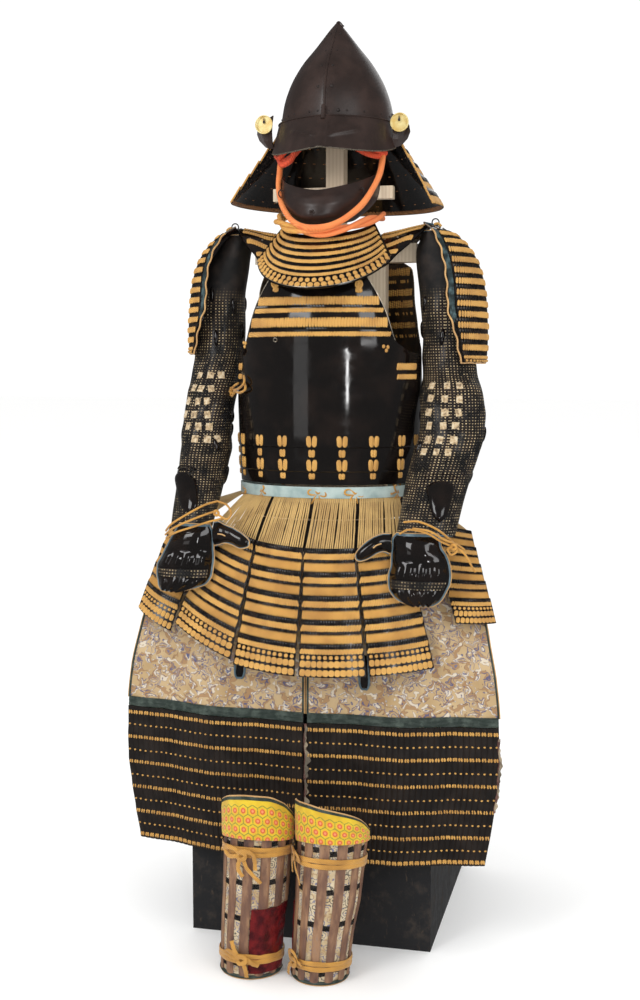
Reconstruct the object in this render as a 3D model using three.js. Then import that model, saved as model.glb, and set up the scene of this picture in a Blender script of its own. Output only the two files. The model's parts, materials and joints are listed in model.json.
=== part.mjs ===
// A samurai armour set out on its wooden stand and lacquered armour box.
// Millimetres, +Z up. The armour faces -Y and the viewer's right is +X, so "left" and "right"
// below are the viewer's. The origin is the middle of the box's underside, on the floor.
import * as THREE from 'three';
import { mergeVertices } from 'three/addons/utils/BufferGeometryUtils.js';

// ---------------------------------------------------------------- driving dimensions

const SEAM = 0.4; // gap kept between pieces that meet
const CLOTH = 2.4; // lined silk and hemp cloth
const PLATE = 2; // lacquered plate
const LACED = 2.6; // laced lame: plate and silk together
const STEP = 2.2; // how far a lower lame's top edge stands over the lame above

const BOX = { width: 450, depth: 440, height: 500, lid: 90, board: 12 };
const STAND = {
  board: { width: 196, depth: 32, top: 1246 },
  shoulders: { width: 314, depth: 32, top: 1281 },
  post: { side: 34, top: 1650 },
  neck: { width: 230, depth: 20, bottom: 1362, top: 1385 },
};

const WAIST = { y: -60, half: 168, deep: 128 }; // the body's oval where the belt lies
const BELT = { bottom: 815, top: 835 };
const SPLIT = 4; // half the gap between the two thigh panels
const APRON = { band: 433, plates: 417, hem: 163 }; // heights on the thigh apron

// ---------------------------------------------------------------- materials

const FINISH = {
  blackLacquer: { color: 0x120e0d, roughness: 0.18, metalness: 0 },
  russetIron: { color: 0x48362f, roughness: 0.5, metalness: 0.6 },
  gilt: { color: 0xb98a45, roughness: 0.35, metalness: 0.8 },
  goldLace: { color: 0xd6a554, roughness: 0.8, metalness: 0 },
  orangeCord: { color: 0xee965f, roughness: 0.8, metalness: 0 },
  brocade: { color: 0xcdaf82, roughness: 0.85, metalness: 0 },
  darkLeather: { color: 0x303c37, roughness: 0.6, metalness: 0 },
  paleCloth: { color: 0xaab4b8, roughness: 0.9, metalness: 0 },
  kneeCloth: { color: 0xebc828, roughness: 0.85, metalness: 0 },
  splints: { color: 0x785a4b, roughness: 0.5, metalness: 0.3 },
  mustardTie: { color: 0xcd963c, roughness: 0.85, metalness: 0 },
  paleWood: { color: 0xd7c8af, roughness: 0.7, metalness: 0 },
  boxLacquer: { color: 0x262628, roughness: 0.45, metalness: 0 },
};

const part = new THREE.Group();
part.name = 'samurai_armour';

function add(name, finish, geometry) {
  const mesh = new THREE.Mesh(geometry, new THREE.MeshStandardMaterial(FINISH[finish]));
  mesh.name = name;
  part.add(mesh);
  return mesh;
}

// ---------------------------------------------------------------- helpers

const { lerp, degToRad } = THREE.MathUtils;
const point = (x, y, z) => new THREE.Vector3(x, y, z);
const sine = (degrees) => Math.sin(degToRad(degrees));
const cosine = (degrees) => Math.cos(degToRad(degrees));

// Evenly spaced numbers from first to last.
function spread(first, last, count) {
  return Array.from({ length: count }, (_, i) => lerp(first, last, i / (count - 1)));
}

// Reads every column of a table at a place between its rows, counted from 0.
function between(table, place) {
  const row = Math.min(Math.max(Math.floor(place), 0), table.length - 2);
  const share = Math.min(Math.max(place - row, 0), 1);
  const values = {};
  for (const column of Object.keys(table[0])) {
    values[column] = lerp(table[row][column], table[row + 1][column], share);
  }
  return values;
}

// Reads a table at one value of a column whose values fall or rise steadily.
function lookUp(table, column, value) {
  const rising = table.at(-1)[column] > table[0][column];
  let row = 0;
  while (row < table.length - 2 && (table[row + 1][column] < value) === rising
    && table[row + 1][column] !== value) {
    row += 1;
  }
  const span = table[row + 1][column] - table[row][column];
  return between(table, row + Math.min(Math.max((value - table[row][column]) / span, 0), 1));
}

// A closed wall. at(u, v) is a point of its inner face; u runs over columns and v over rows.
// side says which way the wall is built up from that face, rise(j, u) thickens row j, and
// keep(i, j) leaves fields of the grid open.
function wall({ at, columns, rows, thick, side = 1, ring = false, rise = () => 0, keep = () => true }) {
  const across = columns.length;
  const fields = ring ? across : across - 1;
  const clampU = (u) => (ring ? u : Math.min(Math.max(u, columns[0]), columns.at(-1)));
  const clampV = (v) => Math.min(Math.max(v, rows[0]), rows.at(-1));
  const outward = (u, v) => {
    const du = at(clampU(u + 1e-3), v).sub(at(clampU(u - 1e-3), v));
    const dv = at(u, clampV(v + 1e-3)).sub(at(u, clampV(v - 1e-3)));
    const normal = du.cross(dv);
    return normal.length() < 1e-9 ? point(0, 0, side) : normal.normalize();
  };
  const inner = [];
  const outer = [];
  rows.forEach((v, j) => columns.forEach((u) => {
    const face = at(u, v);
    inner.push(face);
    outer.push(face.clone().addScaledVector(outward(u, v), side * (thick + rise(j, u))));
  }));
  const corners = [];
  const triangle = (a, b, c) => {
    const [p, q, r] = side > 0 ? [a, b, c] : [a, c, b];
    if (p.distanceTo(q) > 1e-4 && q.distanceTo(r) > 1e-4 && r.distanceTo(p) > 1e-4) {
      corners.push(p, q, r);
    }
  };
  const open = (i, j) => {
    const column = ring ? (i + fields) % fields : i;
    return column < 0 || column >= fields || j < 0 || j >= rows.length - 1 || !keep(column, j);
  };
  for (let j = 0; j < rows.length - 1; j += 1) {
    for (let i = 0; i < fields; i += 1) {
      if (open(i, j)) {
        continue;
      }
      const next = (i + 1) % across;
      const loop = [j * across + i, j * across + next, (j + 1) * across + next, (j + 1) * across + i];
      const [a, b, c, d] = loop;
      triangle(outer[a], outer[b], outer[c]);
      triangle(outer[a], outer[c], outer[d]);
      triangle(inner[a], inner[c], inner[b]);
      triangle(inner[a], inner[d], inner[c]);
      const neighbours = [[i, j - 1], [i + 1, j], [i, j + 1], [i - 1, j]];
      neighbours.forEach(([column, row], edge) => {
        if (open(column, row)) {
          const p = loop[edge];
          const q = loop[(edge + 1) % 4];
          triangle(outer[q], outer[p], inner[p]);
          triangle(outer[q], inner[p], inner[q]);
        }
      });
    }
  }
  const geometry = new THREE.BufferGeometry();
  const numbers = corners.flatMap((p) => [p.x, p.y, p.z]);
  geometry.setAttribute('position', new THREE.Float32BufferAttribute(numbers, 3));
  const merged = mergeVertices(geometry, 1e-4);
  merged.computeVertexNormals();
  return merged;
}

// Rows for laced lames: each starts proud at its top edge and dives under the next one's top.
function lames(tops, end) {
  const sliver = 0.004;
  const rows = [];
  const rises = [];
  tops.forEach((top, k) => {
    const below = k + 1 < tops.length ? tops[k + 1] : end;
    rows.push(top + (k > 0 ? sliver : 0), below);
    rises.push(STEP, k + 1 < tops.length ? 0 : STEP / 2);
  });
  return { rows, rise: (j) => rises[j] };
}

// A tube along a hand-laid route.
function tube(route, radius, steps, sides = 8) {
  const section = new THREE.Shape();
  for (let k = 0; k < sides; k += 1) {
    const turn = (360 * k) / sides;
    const [x, y] = [radius * cosine(turn), radius * sine(turn)];
    k === 0 ? section.moveTo(x, y) : section.lineTo(x, y);
  }
  const path = new THREE.CatmullRomCurve3(route.map(([x, y, z]) => point(x, y, z)), false, 'centripetal');
  return new THREE.ExtrudeGeometry(section, { steps, extrudePath: path });
}

function block(width, depth, bottom, top, x = 0, y = 0) {
  const geometry = new THREE.BoxGeometry(width, depth, top - bottom);
  geometry.translate(x, y, (bottom + top) / 2);
  return geometry;
}

// A tray open upwards, or downwards when it is turned over: a rectangular ring and a floor.
function tray(width, depth, bottom, top, board, turned = false) {
  const floor = turned ? top - board : bottom + board;
  const profile = (corner, level) => {
    const sideX = [1, 1, -1, -1][corner % 4];
    const sideY = [-1, 1, 1, -1][corner % 4];
    const halfWidth = (width / 2 - level.inset) * level.reach;
    const halfDepth = (depth / 2 - level.inset) * level.reach;
    return point(sideX * halfWidth, sideY * halfDepth, level.z);
  };
  const rim = turned ? bottom : top;
  const base = turned ? top : bottom;
  const levels = [
    { z: floor, inset: board, reach: 0 },
    { z: floor, inset: board, reach: 1 },
    { z: rim, inset: board, reach: 1 },
    { z: rim, inset: 0, reach: 1 },
    { z: base, inset: 0, reach: 1 },
    { z: base, inset: 0, reach: 0 },
  ];
  const corners = [];
  for (let j = 0; j < levels.length - 1; j += 1) {
    for (let i = 0; i < 4; i += 1) {
      const a = profile(i, levels[j]);
      const b = profile(i + 1, levels[j]);
      const c = profile(i + 1, levels[j + 1]);
      const d = profile(i, levels[j + 1]);
      for (const [p, q, r] of [[a, b, c], [a, c, d]]) {
        if (p.distanceTo(q) > 1e-4 && q.distanceTo(r) > 1e-4 && r.distanceTo(p) > 1e-4) {
          corners.push(...(turned ? [p, q, r] : [p, r, q]));
        }
      }
    }
  }
  const geometry = new THREE.BufferGeometry();
  const numbers = corners.flatMap((p) => [p.x, p.y, p.z]);
  geometry.setAttribute('position', new THREE.Float32BufferAttribute(numbers, 3));
  return mergeVertices(geometry, 1e-4);
}

// ---------------------------------------------------------------- armour box and stand

function box() {
  const seat = BOX.height - BOX.lid;
  add('armour_box_body', 'boxLacquer', tray(BOX.width, BOX.depth, 0, seat, BOX.board));
  add('armour_box_lid', 'boxLacquer', tray(BOX.width, BOX.depth, seat + SEAM, BOX.height, BOX.board, true));
}

function stand() {
  const { board, shoulders, post, neck } = STAND;
  const front = -post.side / 2 - SEAM;
  const piece = (name, width, depth, bottom, top, y = 0) => {
    add(name, 'paleWood', block(width, depth, bottom, top, 0, y));
  };
  piece('stand_torso_board', board.width, board.depth, BOX.height + SEAM, board.top);
  piece('stand_shoulder_bar', shoulders.width, shoulders.depth, board.top + SEAM, shoulders.top);
  piece('stand_post', post.side, post.side, shoulders.top + SEAM, post.top);
  piece('stand_neck_bar', neck.width, neck.depth, neck.bottom, neck.top, front - neck.depth / 2);
}

// ---------------------------------------------------------------- helmet

// Rings of the bowl from its peak to its rim: half width, and depth to the front and to the back.
const BOWL = [
  { z: 1692, half: 0, front: 0, back: 0 },
  { z: 1678, half: 12, front: 14, back: 14 },
  { z: 1645, half: 38, front: 38, back: 44 },
  { z: 1608, half: 67, front: 72, back: 78 },
  { z: 1572, half: 87, front: 93, back: 101 },
  { z: 1540, half: 98, front: 102, back: 113 },
  { z: 1500, half: 105, front: 107, back: 120 },
];
const BOWL_SHIFT = 2; // the peak leans a touch to the right
const RIDGE = { height: 6, reach: 24 }; // the sharp fold down the bowl's front, in mm and degrees

function bowlPoint(turn, place) {
  const { z, half, front, back } = between(BOWL, place);
  const away = Math.abs(((turn + 180) % 360 + 360) % 360 - 180);
  const fold = RIDGE.height * Math.max(0, 1 - away / RIDGE.reach) * Math.min(1, half / 40);
  const deep = cosine(turn) > 0 ? front + fold : back;
  return point(BOWL_SHIFT + half * sine(turn), -deep * cosine(turn), z);
}

// The visor's and wings' edges, from the brow out.
const VISOR = { span: 68, brow: 1503, lip: 1441, reach: 38, sideReach: 14 };

function visorPoint(turn, v) {
  const brow = bowlPoint(turn, BOWL.length - 1);
  const grow = 4 + v * lerp(VISOR.reach, VISOR.sideReach, Math.abs(turn) / VISOR.span);
  const flat = Math.hypot(brow.x, brow.y);
  const droop = -4 * Math.sin(Math.PI * Math.abs(turn) / VISOR.span) * v;
  const z = lerp(VISOR.brow, VISOR.lip + 8 * (Math.abs(turn) / VISOR.span) ** 4, v) + droop;
  return point(brow.x * (1 + grow / flat), brow.y * (1 + grow / flat), z);
}

const WING = { inner: 112, outer: 147, innerY: -42, outerY: -34, bottom: 1453, top: 1514 };
const DISC = { radius: 16.5, thick: 3, x: 129, y: -46, z: 1497, turn: 10 };

function helmet() {
  add('helmet_bowl', 'russetIron', wall({
    at: bowlPoint,
    columns: spread(0, 342, 20),
    rows: spread(0, BOWL.length - 1, BOWL.length),
    thick: 2.5,
    side: -1,
    ring: true,
  }));
  add('helmet_visor', 'russetIron', wall({
    at: visorPoint,
    columns: spread(-VISOR.span, VISOR.span, 15),
    rows: [0, 0.5, 1],
    thick: PLATE,
    side: -1,
  }));
  for (const [word, s] of [['left', -1], ['right', 1]]) {
    add(`helmet_wing_${word}`, 'russetIron', wall({
      at: (u, v) => point(
        s * lerp(WING.inner + 3 * Math.sin(Math.PI * v), WING.outer - 14 * (2 * v - 0.9) ** 2, u),
        lerp(WING.innerY, WING.outerY, u) + 3 * Math.sin(Math.PI * u),
        lerp(WING.top - 8 * u, WING.bottom + 4 * u, v) + (s < 0 ? TILT : 0),
      ),
      columns: spread(0, 1, 4),
      rows: spread(0, 1, 5),
      thick: PLATE,
      side: -s,
    }));
    const disc = new THREE.CylinderGeometry(DISC.radius, DISC.radius, DISC.thick, 20);
    disc.rotateZ(degToRad(s * DISC.turn));
    disc.translate(s * DISC.x, DISC.y, DISC.z + (s < 0 ? TILT : 0));
    add(`helmet_disc_${word}`, 'gilt', disc);
  }
}

// Five lames that hang round the back and sides of the neck, each outside the one above.
const NECK_GUARD = {
  count: 5,
  top: 1490,
  pitch: 27,
  height: 34,
  half: 108,
  grow: 18.4,
  flare: 20,
  back: 0.88,
  front: [82, 80, 78, 75, 72],
};
const TILT = 6; // the helmet sits this much higher on the left

function neckPoint(k, turn, v) {
  const { top, pitch, height, half, grow, flare, back } = NECK_GUARD;
  const radius = half + k * grow + v * flare;
  const low = (k + v) / NECK_GUARD.count;
  const tilt = TILT * low * (1 - sine(turn));
  const droop = 5 * low * Math.max(0, cosine(turn));
  const z = top - k * pitch - v * height + tilt - droop;
  return point(radius * sine(turn), -radius * back * cosine(turn), z);
}

function neckGuard() {
  for (let k = 0; k < NECK_GUARD.count; k += 1) {
    add(`neck_guard_${k + 1}`, 'blackLacquer', wall({
      at: (turn, v) => neckPoint(k, turn, v),
      columns: spread(NECK_GUARD.front[k], 360 - NECK_GUARD.front[k], 19),
      rows: [0, 1],
      thick: 1.4,
      side: -1,
    }));
  }
}

// ---------------------------------------------------------------- mask, bib and chin cord

// Sections of the half mask from its upper edge to the chin: half width and reach at the front.
const MASK = [
  { half: 90, front: 156, side: 32 },
  { half: 91, front: 168, side: 32 },
  { half: 88, front: 176, side: 34 },
  { half: 74, front: 176, side: 42 },
  { half: 50, front: 156, side: 60 },
];
const MASK_EDGE = { top: 1360, topSide: 1408, bottom: 1305, bottomSide: 1322, span: 84 };

function maskPoint(turn, place) {
  const { half, front, side } = between(MASK, place);
  const outward = Math.abs(turn) / MASK_EDGE.span;
  const top = lerp(MASK_EDGE.top, MASK_EDGE.topSide, outward ** 1.5);
  const bottom = lerp(MASK_EDGE.bottom, MASK_EDGE.bottomSide, outward ** 2);
  const z = lerp(top, bottom, place / (MASK.length - 1));
  return point(half * sine(turn), -side - (front - side) * cosine(turn), z);
}

const BIB = {
  span: 76,
  top: { half: 84, front: 160, side: 64, z: 1283, rise: 28 },
  hem: { half: 123, front: 210, side: 104, z: 1188, rise: 60 },
};

function bibPoint(turn, v) {
  const { span, top, hem } = BIB;
  const bow = (cosine(turn) - cosine(span)) / (1 - cosine(span));
  const aside = (turn / span) ** 2;
  const x = lerp(top.half, hem.half, v) * sine(turn) / sine(span);
  const y = -lerp(lerp(top.side, hem.side, v), lerp(top.front, hem.front, v), bow);
  return point(x, y, lerp(top.z + top.rise * aside, hem.z + hem.rise * aside, v));
}

// The chin cord from the helmet's left inner rim, under the chin and up to its right inner rim.
const CHIN_CORD = {
  radius: 5.5,
  steps: 24,
  route: [
    [-97, -50, 1446], [-101, -60, 1414], [-100, -78, 1384], [-90, -106, 1356], [-74, -134, 1334],
    [-50, -160, 1318], [-22, -182, 1306], [6, -189, 1303], [34, -182, 1308], [60, -164, 1322],
    [84, -140, 1344], [98, -112, 1374], [103, -78, 1404], [101, -46, 1444],
  ],
};

// The second cord, wound round under the chin below the first.
const THROAT_CORD = {
  radius: 7,
  steps: 16,
  route: [
    [-98, -26, 1338], [-97, -62, 1330], [-84, -108, 1318], [-56, -150, 1302], [-20, -174, 1292],
    [14, -178, 1289], [48, -160, 1298], [76, -124, 1312], [94, -74, 1326], [98, -30, 1334],
  ],
};

function mask() {
  add('half_mask', 'russetIron', wall({
    at: maskPoint,
    columns: spread(-MASK_EDGE.span, MASK_EDGE.span, 13),
    rows: spread(0, MASK.length - 1, 7),
    thick: PLATE,
    side: -1,
  }));
  const laced = lames([0, 0.22, 0.42, 0.61, 0.8], 1);
  add('throat_bib', 'goldLace', wall({
    at: bibPoint,
    columns: spread(-BIB.span, BIB.span, 11),
    rows: laced.rows,
    thick: LACED,
    side: -1,
    rise: laced.rise,
  }));
  add('chin_cord', 'orangeCord', tube(CHIN_CORD.route, CHIN_CORD.radius, CHIN_CORD.steps));
  add('throat_cord', 'orangeCord', tube(THROAT_CORD.route, THROAT_CORD.radius, THROAT_CORD.steps));
}

// ---------------------------------------------------------------- cuirass

// Sections of the front from its top edge down: the oval's half width and depth, and how far
// round from the middle the plate reaches, in degrees. rise is a lame's proud top edge.
const FRONT = [
  { z: 1213, half: 150, deep: 110, reach: 36, rise: 1 },
  { z: 1180.5, half: 158, deep: 119, reach: 43, rise: 0 },
  { z: 1180, half: 158, deep: 119, reach: 43, rise: STEP },
  { z: 1150.5, half: 164, deep: 124, reach: 48, rise: 0 },
  { z: 1150, half: 164, deep: 124, reach: 48, rise: STEP },
  { z: 1120.5, half: 169, deep: 127, reach: 51, rise: 0 },
  { z: 1120, half: 169, deep: 127, reach: 51, rise: STEP },
  { z: 1098, half: 171, deep: 128, reach: 54, rise: 0 },
  { z: 1080, half: 172, deep: 129, reach: 67, rise: 0 },
  { z: 1069, half: 172, deep: 129, reach: 89.7, rise: 0 },
  { z: 1000, half: 173, deep: 130, reach: 89.7, rise: 0 },
  { z: 921.5, half: 171, deep: 129, reach: 89.7, rise: 0 },
  { z: 921, half: 171, deep: 129, reach: 89.7, rise: STEP },
  { z: 879.5, half: 169, deep: 128, reach: 89.7, rise: 0 },
  { z: 879, half: 169, deep: 128, reach: 89.7, rise: STEP },
  { z: 839, half: 167, deep: 127, reach: 89.7, rise: STEP / 2 },
];

// The back rises higher and is cut straighter at the armholes; reach is measured from its middle.
const BACK = [
  { z: 1250, half: 200, deep: 122, reach: 36, rise: 0 },
  { z: 1235, half: 178, deep: 122, reach: 53, rise: 0 },
  { z: 1180, half: 165, deep: 122, reach: 66, rise: 0 },
  { z: 1125, half: 170, deep: 127, reach: 68, rise: 0 },
  { z: 1096, half: 171, deep: 128, reach: 74, rise: 0 },
  ...FRONT.slice(-7),
];

function bodyPoint(table, facing, u, place) {
  const { z, half, deep, reach } = between(table, place);
  return point(facing * half * sine(u * reach), WAIST.y - facing * deep * cosine(u * reach), z);
}

// A strap's sections from the back plate over the shoulder to the chest.
const STRAP = [
  { y: 46, z: 1262, inner: 74, outer: 118, lift: 0 },
  { y: 24, z: 1290, inner: 80, outer: 166, lift: 10 },
  { y: -20, z: 1294, inner: 88, outer: 184, lift: 18 },
  { y: -50, z: 1286, inner: 90, outer: 178, lift: 16 },
  { y: -84, z: 1260, inner: 86, outer: 138, lift: 0 },
  { y: -112, z: 1230, inner: 76, outer: 112, lift: 0 },
  { y: -142, z: 1219, inner: 60, outer: 88, lift: 0 },
];

function beltPoint(turn, z) {
  return point(WAIST.half * sine(turn), WAIST.y - WAIST.deep * cosine(turn), z);
}

function cuirass() {
  for (const [name, table, facing] of [['cuirass_front', FRONT, 1], ['cuirass_back', BACK, -1]]) {
    add(name, 'blackLacquer', wall({
      at: (u, place) => bodyPoint(table, facing, u, place),
      columns: spread(-1, 1, facing > 0 ? 15 : 13),
      rows: spread(0, table.length - 1, table.length),
      thick: PLATE,
      side: -1,
      rise: (j) => table[j].rise,
    }));
  }
  for (const [word, s] of [['left', -1], ['right', 1]]) {
    add(`shoulder_strap_${word}`, 'goldLace', wall({
      at: (u, place) => {
        const { y, z, inner, outer, lift } = between(STRAP, place);
        return point(s * lerp(inner, outer, u), y, z + lift * u);
      },
      columns: spread(0, 1, 4),
      rows: spread(0, STRAP.length - 1, STRAP.length),
      thick: 3,
      side: -s,
    }));
  }
  add('tasset_belt', 'paleCloth', wall({
    at: (turn, z) => beltPoint(turn, -z),
    columns: spread(0, 345, 24),
    rows: [-BELT.top, -BELT.bottom],
    thick: 2.5,
    side: -1,
    ring: true,
  }));
}

// ---------------------------------------------------------------- tassets

// Eight laced panels round the hips. The first four columns place the inner and outer ends of the
// top edge, the rest the ends of the bottom edge; inner is the end nearer the front.
const TASSETS = [
  {
    name: 'left_front',
    ax: -2, ay: -255, az: 733, bx: -88, by: -243, bz: 742,
    cx: -4, cy: -308, cz: 514, dx: -118, dy: -296, dz: 527,
  },
  {
    name: 'right_front',
    ax: 2, ay: -255, az: 733, bx: 88, by: -248, bz: 734,
    cx: 4, cy: -308, cz: 514, dx: 121, dy: -298, dz: 518,
  },
  {
    name: 'left_hip',
    ax: -92, ay: -242, az: 743, bx: -178, by: -196, bz: 770,
    cx: -126, cy: -290, cz: 534, dx: -240, dy: -256, dz: 588,
  },
  {
    name: 'right_hip',
    ax: 92, ay: -247, az: 734, bx: 172, by: -212, bz: 744,
    cx: 127, cy: -295, cz: 518, dx: 232, dy: -256, dz: 530,
  },
  {
    name: 'left_side',
    ax: -200, ay: -174, az: 778, bx: -276, by: -126, bz: 786,
    cx: -253, cy: -248, cz: 571, dx: -321, dy: -228, dz: 608,
  },
  {
    name: 'right_side',
    ax: 212, ay: -176, az: 772, bx: 275, by: -124, bz: 754,
    cx: 268, cy: -240, cz: 607, dx: 334, dy: -216, dz: 606,
  },
  {
    name: 'left_back',
    ax: -214, ay: 40, az: 738, bx: -140, by: 106, bz: 738,
    cx: -268, cy: 100, cz: 560, dx: -172, dy: 190, dz: 556,
  },
  {
    name: 'right_back',
    ax: 214, ay: 40, az: 738, bx: 140, by: 106, bz: 738,
    cx: 268, cy: 100, cz: 560, dx: 172, dy: 190, dz: 556,
  },
];

// A tasset's inner face: straight down, and bowed out across by its width.
function tassetPoint(row, u, v) {
  const top = point(lerp(row.ax, row.bx, u), lerp(row.ay, row.by, u), lerp(row.az, row.bz, u));
  const bottom = point(lerp(row.cx, row.dx, u), lerp(row.cy, row.dy, u), lerp(row.cz, row.dz, u));
  const bow = 9 * (1 - (2 * u - 1) ** 2);
  const out = point(row.ay - row.by, row.bx - row.ax, 0).normalize();
  const away = out.x * top.x + out.y * (top.y - WAIST.y) > 0 ? 1 : -1;
  return top.lerp(bottom, v).addScaledVector(out, away * bow);
}

function tassets() {
  const laced = lames([0, 0.186, 0.372, 0.558, 0.744], 1);
  for (const row of TASSETS) {
    add(`tasset_${row.name}`, 'blackLacquer', wall({
      at: (u, v) => tassetPoint(row, u, v),
      columns: spread(0, 1, 5),
      rows: laced.rows,
      thick: LACED,
      side: row.ax < 0 ? 1 : -1,
      rise: laced.rise,
    }));
  }
}

// Where along the belt each tasset's fan of cords starts and ends, in degrees round the body.
const FANS = [
  { name: 'right_front', start: 1, end: 27 },
  { name: 'right_hip', start: 29, end: 60 },
  { name: 'right_side', start: 66, end: 104 },
  { name: 'right_back', start: 122, end: 158 },
  { name: 'left_back', start: 202, end: 238 },
  { name: 'left_side', start: 256, end: 294 },
  { name: 'left_hip', start: 300, end: 331 },
  { name: 'left_front', start: 333, end: 359 },
];

// The cords that carry the tassets: a fan of cords to each, joined in one row under the belt. A
// fan has three columns, and the field after its third is the open gap to the next fan.
function tassetCords() {
  const perFan = 3;
  const around = FANS.length * perFan;
  const at = (u, v) => {
    const place = ((u % around) + around) % around;
    const index = Math.floor(place / perFan);
    const step = place - index * perFan;
    const fan = FANS[index];
    const next = FANS[(index + 1) % FANS.length];
    const share = Math.min(step / 2, 1);
    const nextStart = next.start + (next.start < fan.end ? 360 : 0);
    const turn = step <= 2 ? lerp(fan.start, fan.end, share) : lerp(fan.end, nextStart, step - 2);
    const head = point(
      (WAIST.half - 1) * sine(turn),
      WAIST.y - (WAIST.deep - 1) * cosine(turn),
      BELT.bottom - SEAM - CLOTH,
    );
    const tasset = TASSETS.find((row) => row.name === fan.name);
    const across = tasset.ax < 0 ? 1 - share : share;
    const foot = tassetPoint(tasset, across, 0);
    const down = tassetPoint(tasset, across, 0.01).sub(foot).normalize();
    foot.addScaledVector(down, -2.5);
    return head.lerp(foot, v);
  };
  add('tasset_cords', 'goldLace', wall({
    at,
    columns: spread(0, around - 1, around),
    rows: [0, 0.08, 0.5, 1],
    thick: CLOTH,
    side: -1,
    ring: true,
    keep: (i, j) => j === 0 || i % perFan !== 2,
  }));
}

// ---------------------------------------------------------------- shoulder guards and sleeves

// Side view of a shoulder guard from its top edge: how far out it stands, its half depth front to
// back, and how much nearer the body its edges turn in.
const SHOULDER = [
  { z: 1311, out: 190, deep: 66, turn: 12 },
  { z: 1299, out: 216, deep: 76, turn: 22 },
  { z: 1278, out: 243, deep: 86, turn: 36 },
  { z: 1248, out: 264, deep: 94, turn: 46 },
  { z: 1210, out: 277, deep: 97, turn: 52 },
  { z: 1160, out: 284, deep: 97, turn: 56 },
  { z: 1110, out: 286, deep: 95, turn: 44 },
  { z: 1058, out: 284, deep: 92, turn: 32 },
];

const LEFT_DROP = 0.93; // the left guard hangs this much shorter than the right

function shoulderPoint(s, u, v) {
  const { z, out, deep, turn } = between(SHOULDER, v * (SHOULDER.length - 1));
  const height = s < 0 ? lerp(SHOULDER[0].z, z, LEFT_DROP) : z;
  return point(s * (out - turn * u * u), -6 + deep * u, height);
}

// Sections of a sleeve from the shoulder to the wrist: middle, half width and half depth.
const SLEEVE_RIGHT = [
  { z: 1268, x: 200, y: -14, wide: 30, deep: 40, turn: 0 },
  { z: 1230, x: 214, y: -18, wide: 40, deep: 44, turn: 0 },
  { z: 1170, x: 223, y: -24, wide: 44, deep: 44, turn: 0 },
  { z: 1100, x: 222, y: -30, wide: 44, deep: 44, turn: 0 },
  { z: 1040, x: 228, y: -50, wide: 47, deep: 42, turn: 0 },
  { z: 1000, x: 235, y: -78, wide: 54, deep: 42, turn: 2 },
  { z: 940, x: 238, y: -102, wide: 56, deep: 42, turn: 4 },
  { z: 895, x: 232, y: -122, wide: 56, deep: 40, turn: 6 },
  { z: 850, x: 223, y: -156, wide: 54, deep: 36, turn: 8 },
  { z: 800, x: 216, y: -196, wide: 51, deep: 30, turn: 10 },
  { z: 758, x: 210, y: -224, wide: 49, deep: 22, turn: 12 },
];
const SLEEVE_LEFT = [
  { z: 1268, x: -200, y: -14, wide: 30, deep: 40, turn: 0 },
  { z: 1230, x: -214, y: -18, wide: 40, deep: 44, turn: 0 },
  { z: 1170, x: -224, y: -24, wide: 44, deep: 44, turn: 0 },
  { z: 1100, x: -222, y: -30, wide: 43, deep: 44, turn: 0 },
  { z: 1040, x: -226, y: -52, wide: 43, deep: 42, turn: -6 },
  { z: 1000, x: -227, y: -74, wide: 42, deep: 46, turn: -10 },
  { z: 940, x: -228, y: -98, wide: 42, deep: 48, turn: -14 },
  { z: 895, x: -227, y: -118, wide: 42, deep: 48, turn: -18 },
  { z: 850, x: -222, y: -156, wide: 42, deep: 42, turn: -20 },
  { z: 800, x: -219, y: -196, wide: 41, deep: 33, turn: -20 },
  { z: 758, x: -219, y: -226, wide: 40, deep: 22, turn: -18 },
];

function sleevePoint(table, angle, place) {
  const { z, x, y, wide, deep, turn } = between(table, place);
  const [across, along] = [wide * sine(angle), -deep * cosine(angle)];
  return point(
    x + across * cosine(turn) - along * sine(turn),
    y + across * sine(turn) + along * cosine(turn),
    z,
  );
}

// Sections of the hand guards from the wrist to the fingers: the left and right edge, how far
// forward the edges lie, and how far the middle bows out from them.
const HAND_RIGHT = [
  { z: 762, left: 168, right: 236, edge: 252, bow: 10 },
  { z: 752, left: 161, right: 238, edge: 252, bow: 13 },
  { z: 739, left: 161, right: 241, edge: 252, bow: 17 },
  { z: 727, left: 160, right: 249, edge: 252, bow: 20 },
  { z: 708, left: 160, right: 256, edge: 254, bow: 23 },
  { z: 692, left: 156, right: 258, edge: 257, bow: 24 },
  { z: 682, left: 156, right: 257, edge: 259, bow: 24 },
  { z: 670, left: 158, right: 252, edge: 262, bow: 22 },
  { z: 658, left: 166, right: 246, edge: 265, bow: 19 },
  { z: 651, left: 176, right: 240, edge: 267, bow: 15 },
  { z: 645, left: 195, right: 230, edge: 269, bow: 8 },
];
const HAND_LEFT = [
  { z: 768, left: -230, right: -177, edge: 252, bow: 10 },
  { z: 756, left: -237, right: -172, edge: 252, bow: 13 },
  { z: 744, left: -244, right: -171, edge: 252, bow: 16 },
  { z: 726, left: -254, right: -171, edge: 252, bow: 20 },
  { z: 708, left: -263, right: -170, edge: 253, bow: 23 },
  { z: 694, left: -270, right: -171, edge: 255, bow: 24 },
  { z: 682, left: -270, right: -172, edge: 258, bow: 24 },
  { z: 668, left: -267, right: -180, edge: 261, bow: 22 },
  { z: 660, left: -265, right: -198, edge: 264, bow: 18 },
  { z: 653, left: -260, right: -228, edge: 267, bow: 10 },
];

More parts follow.
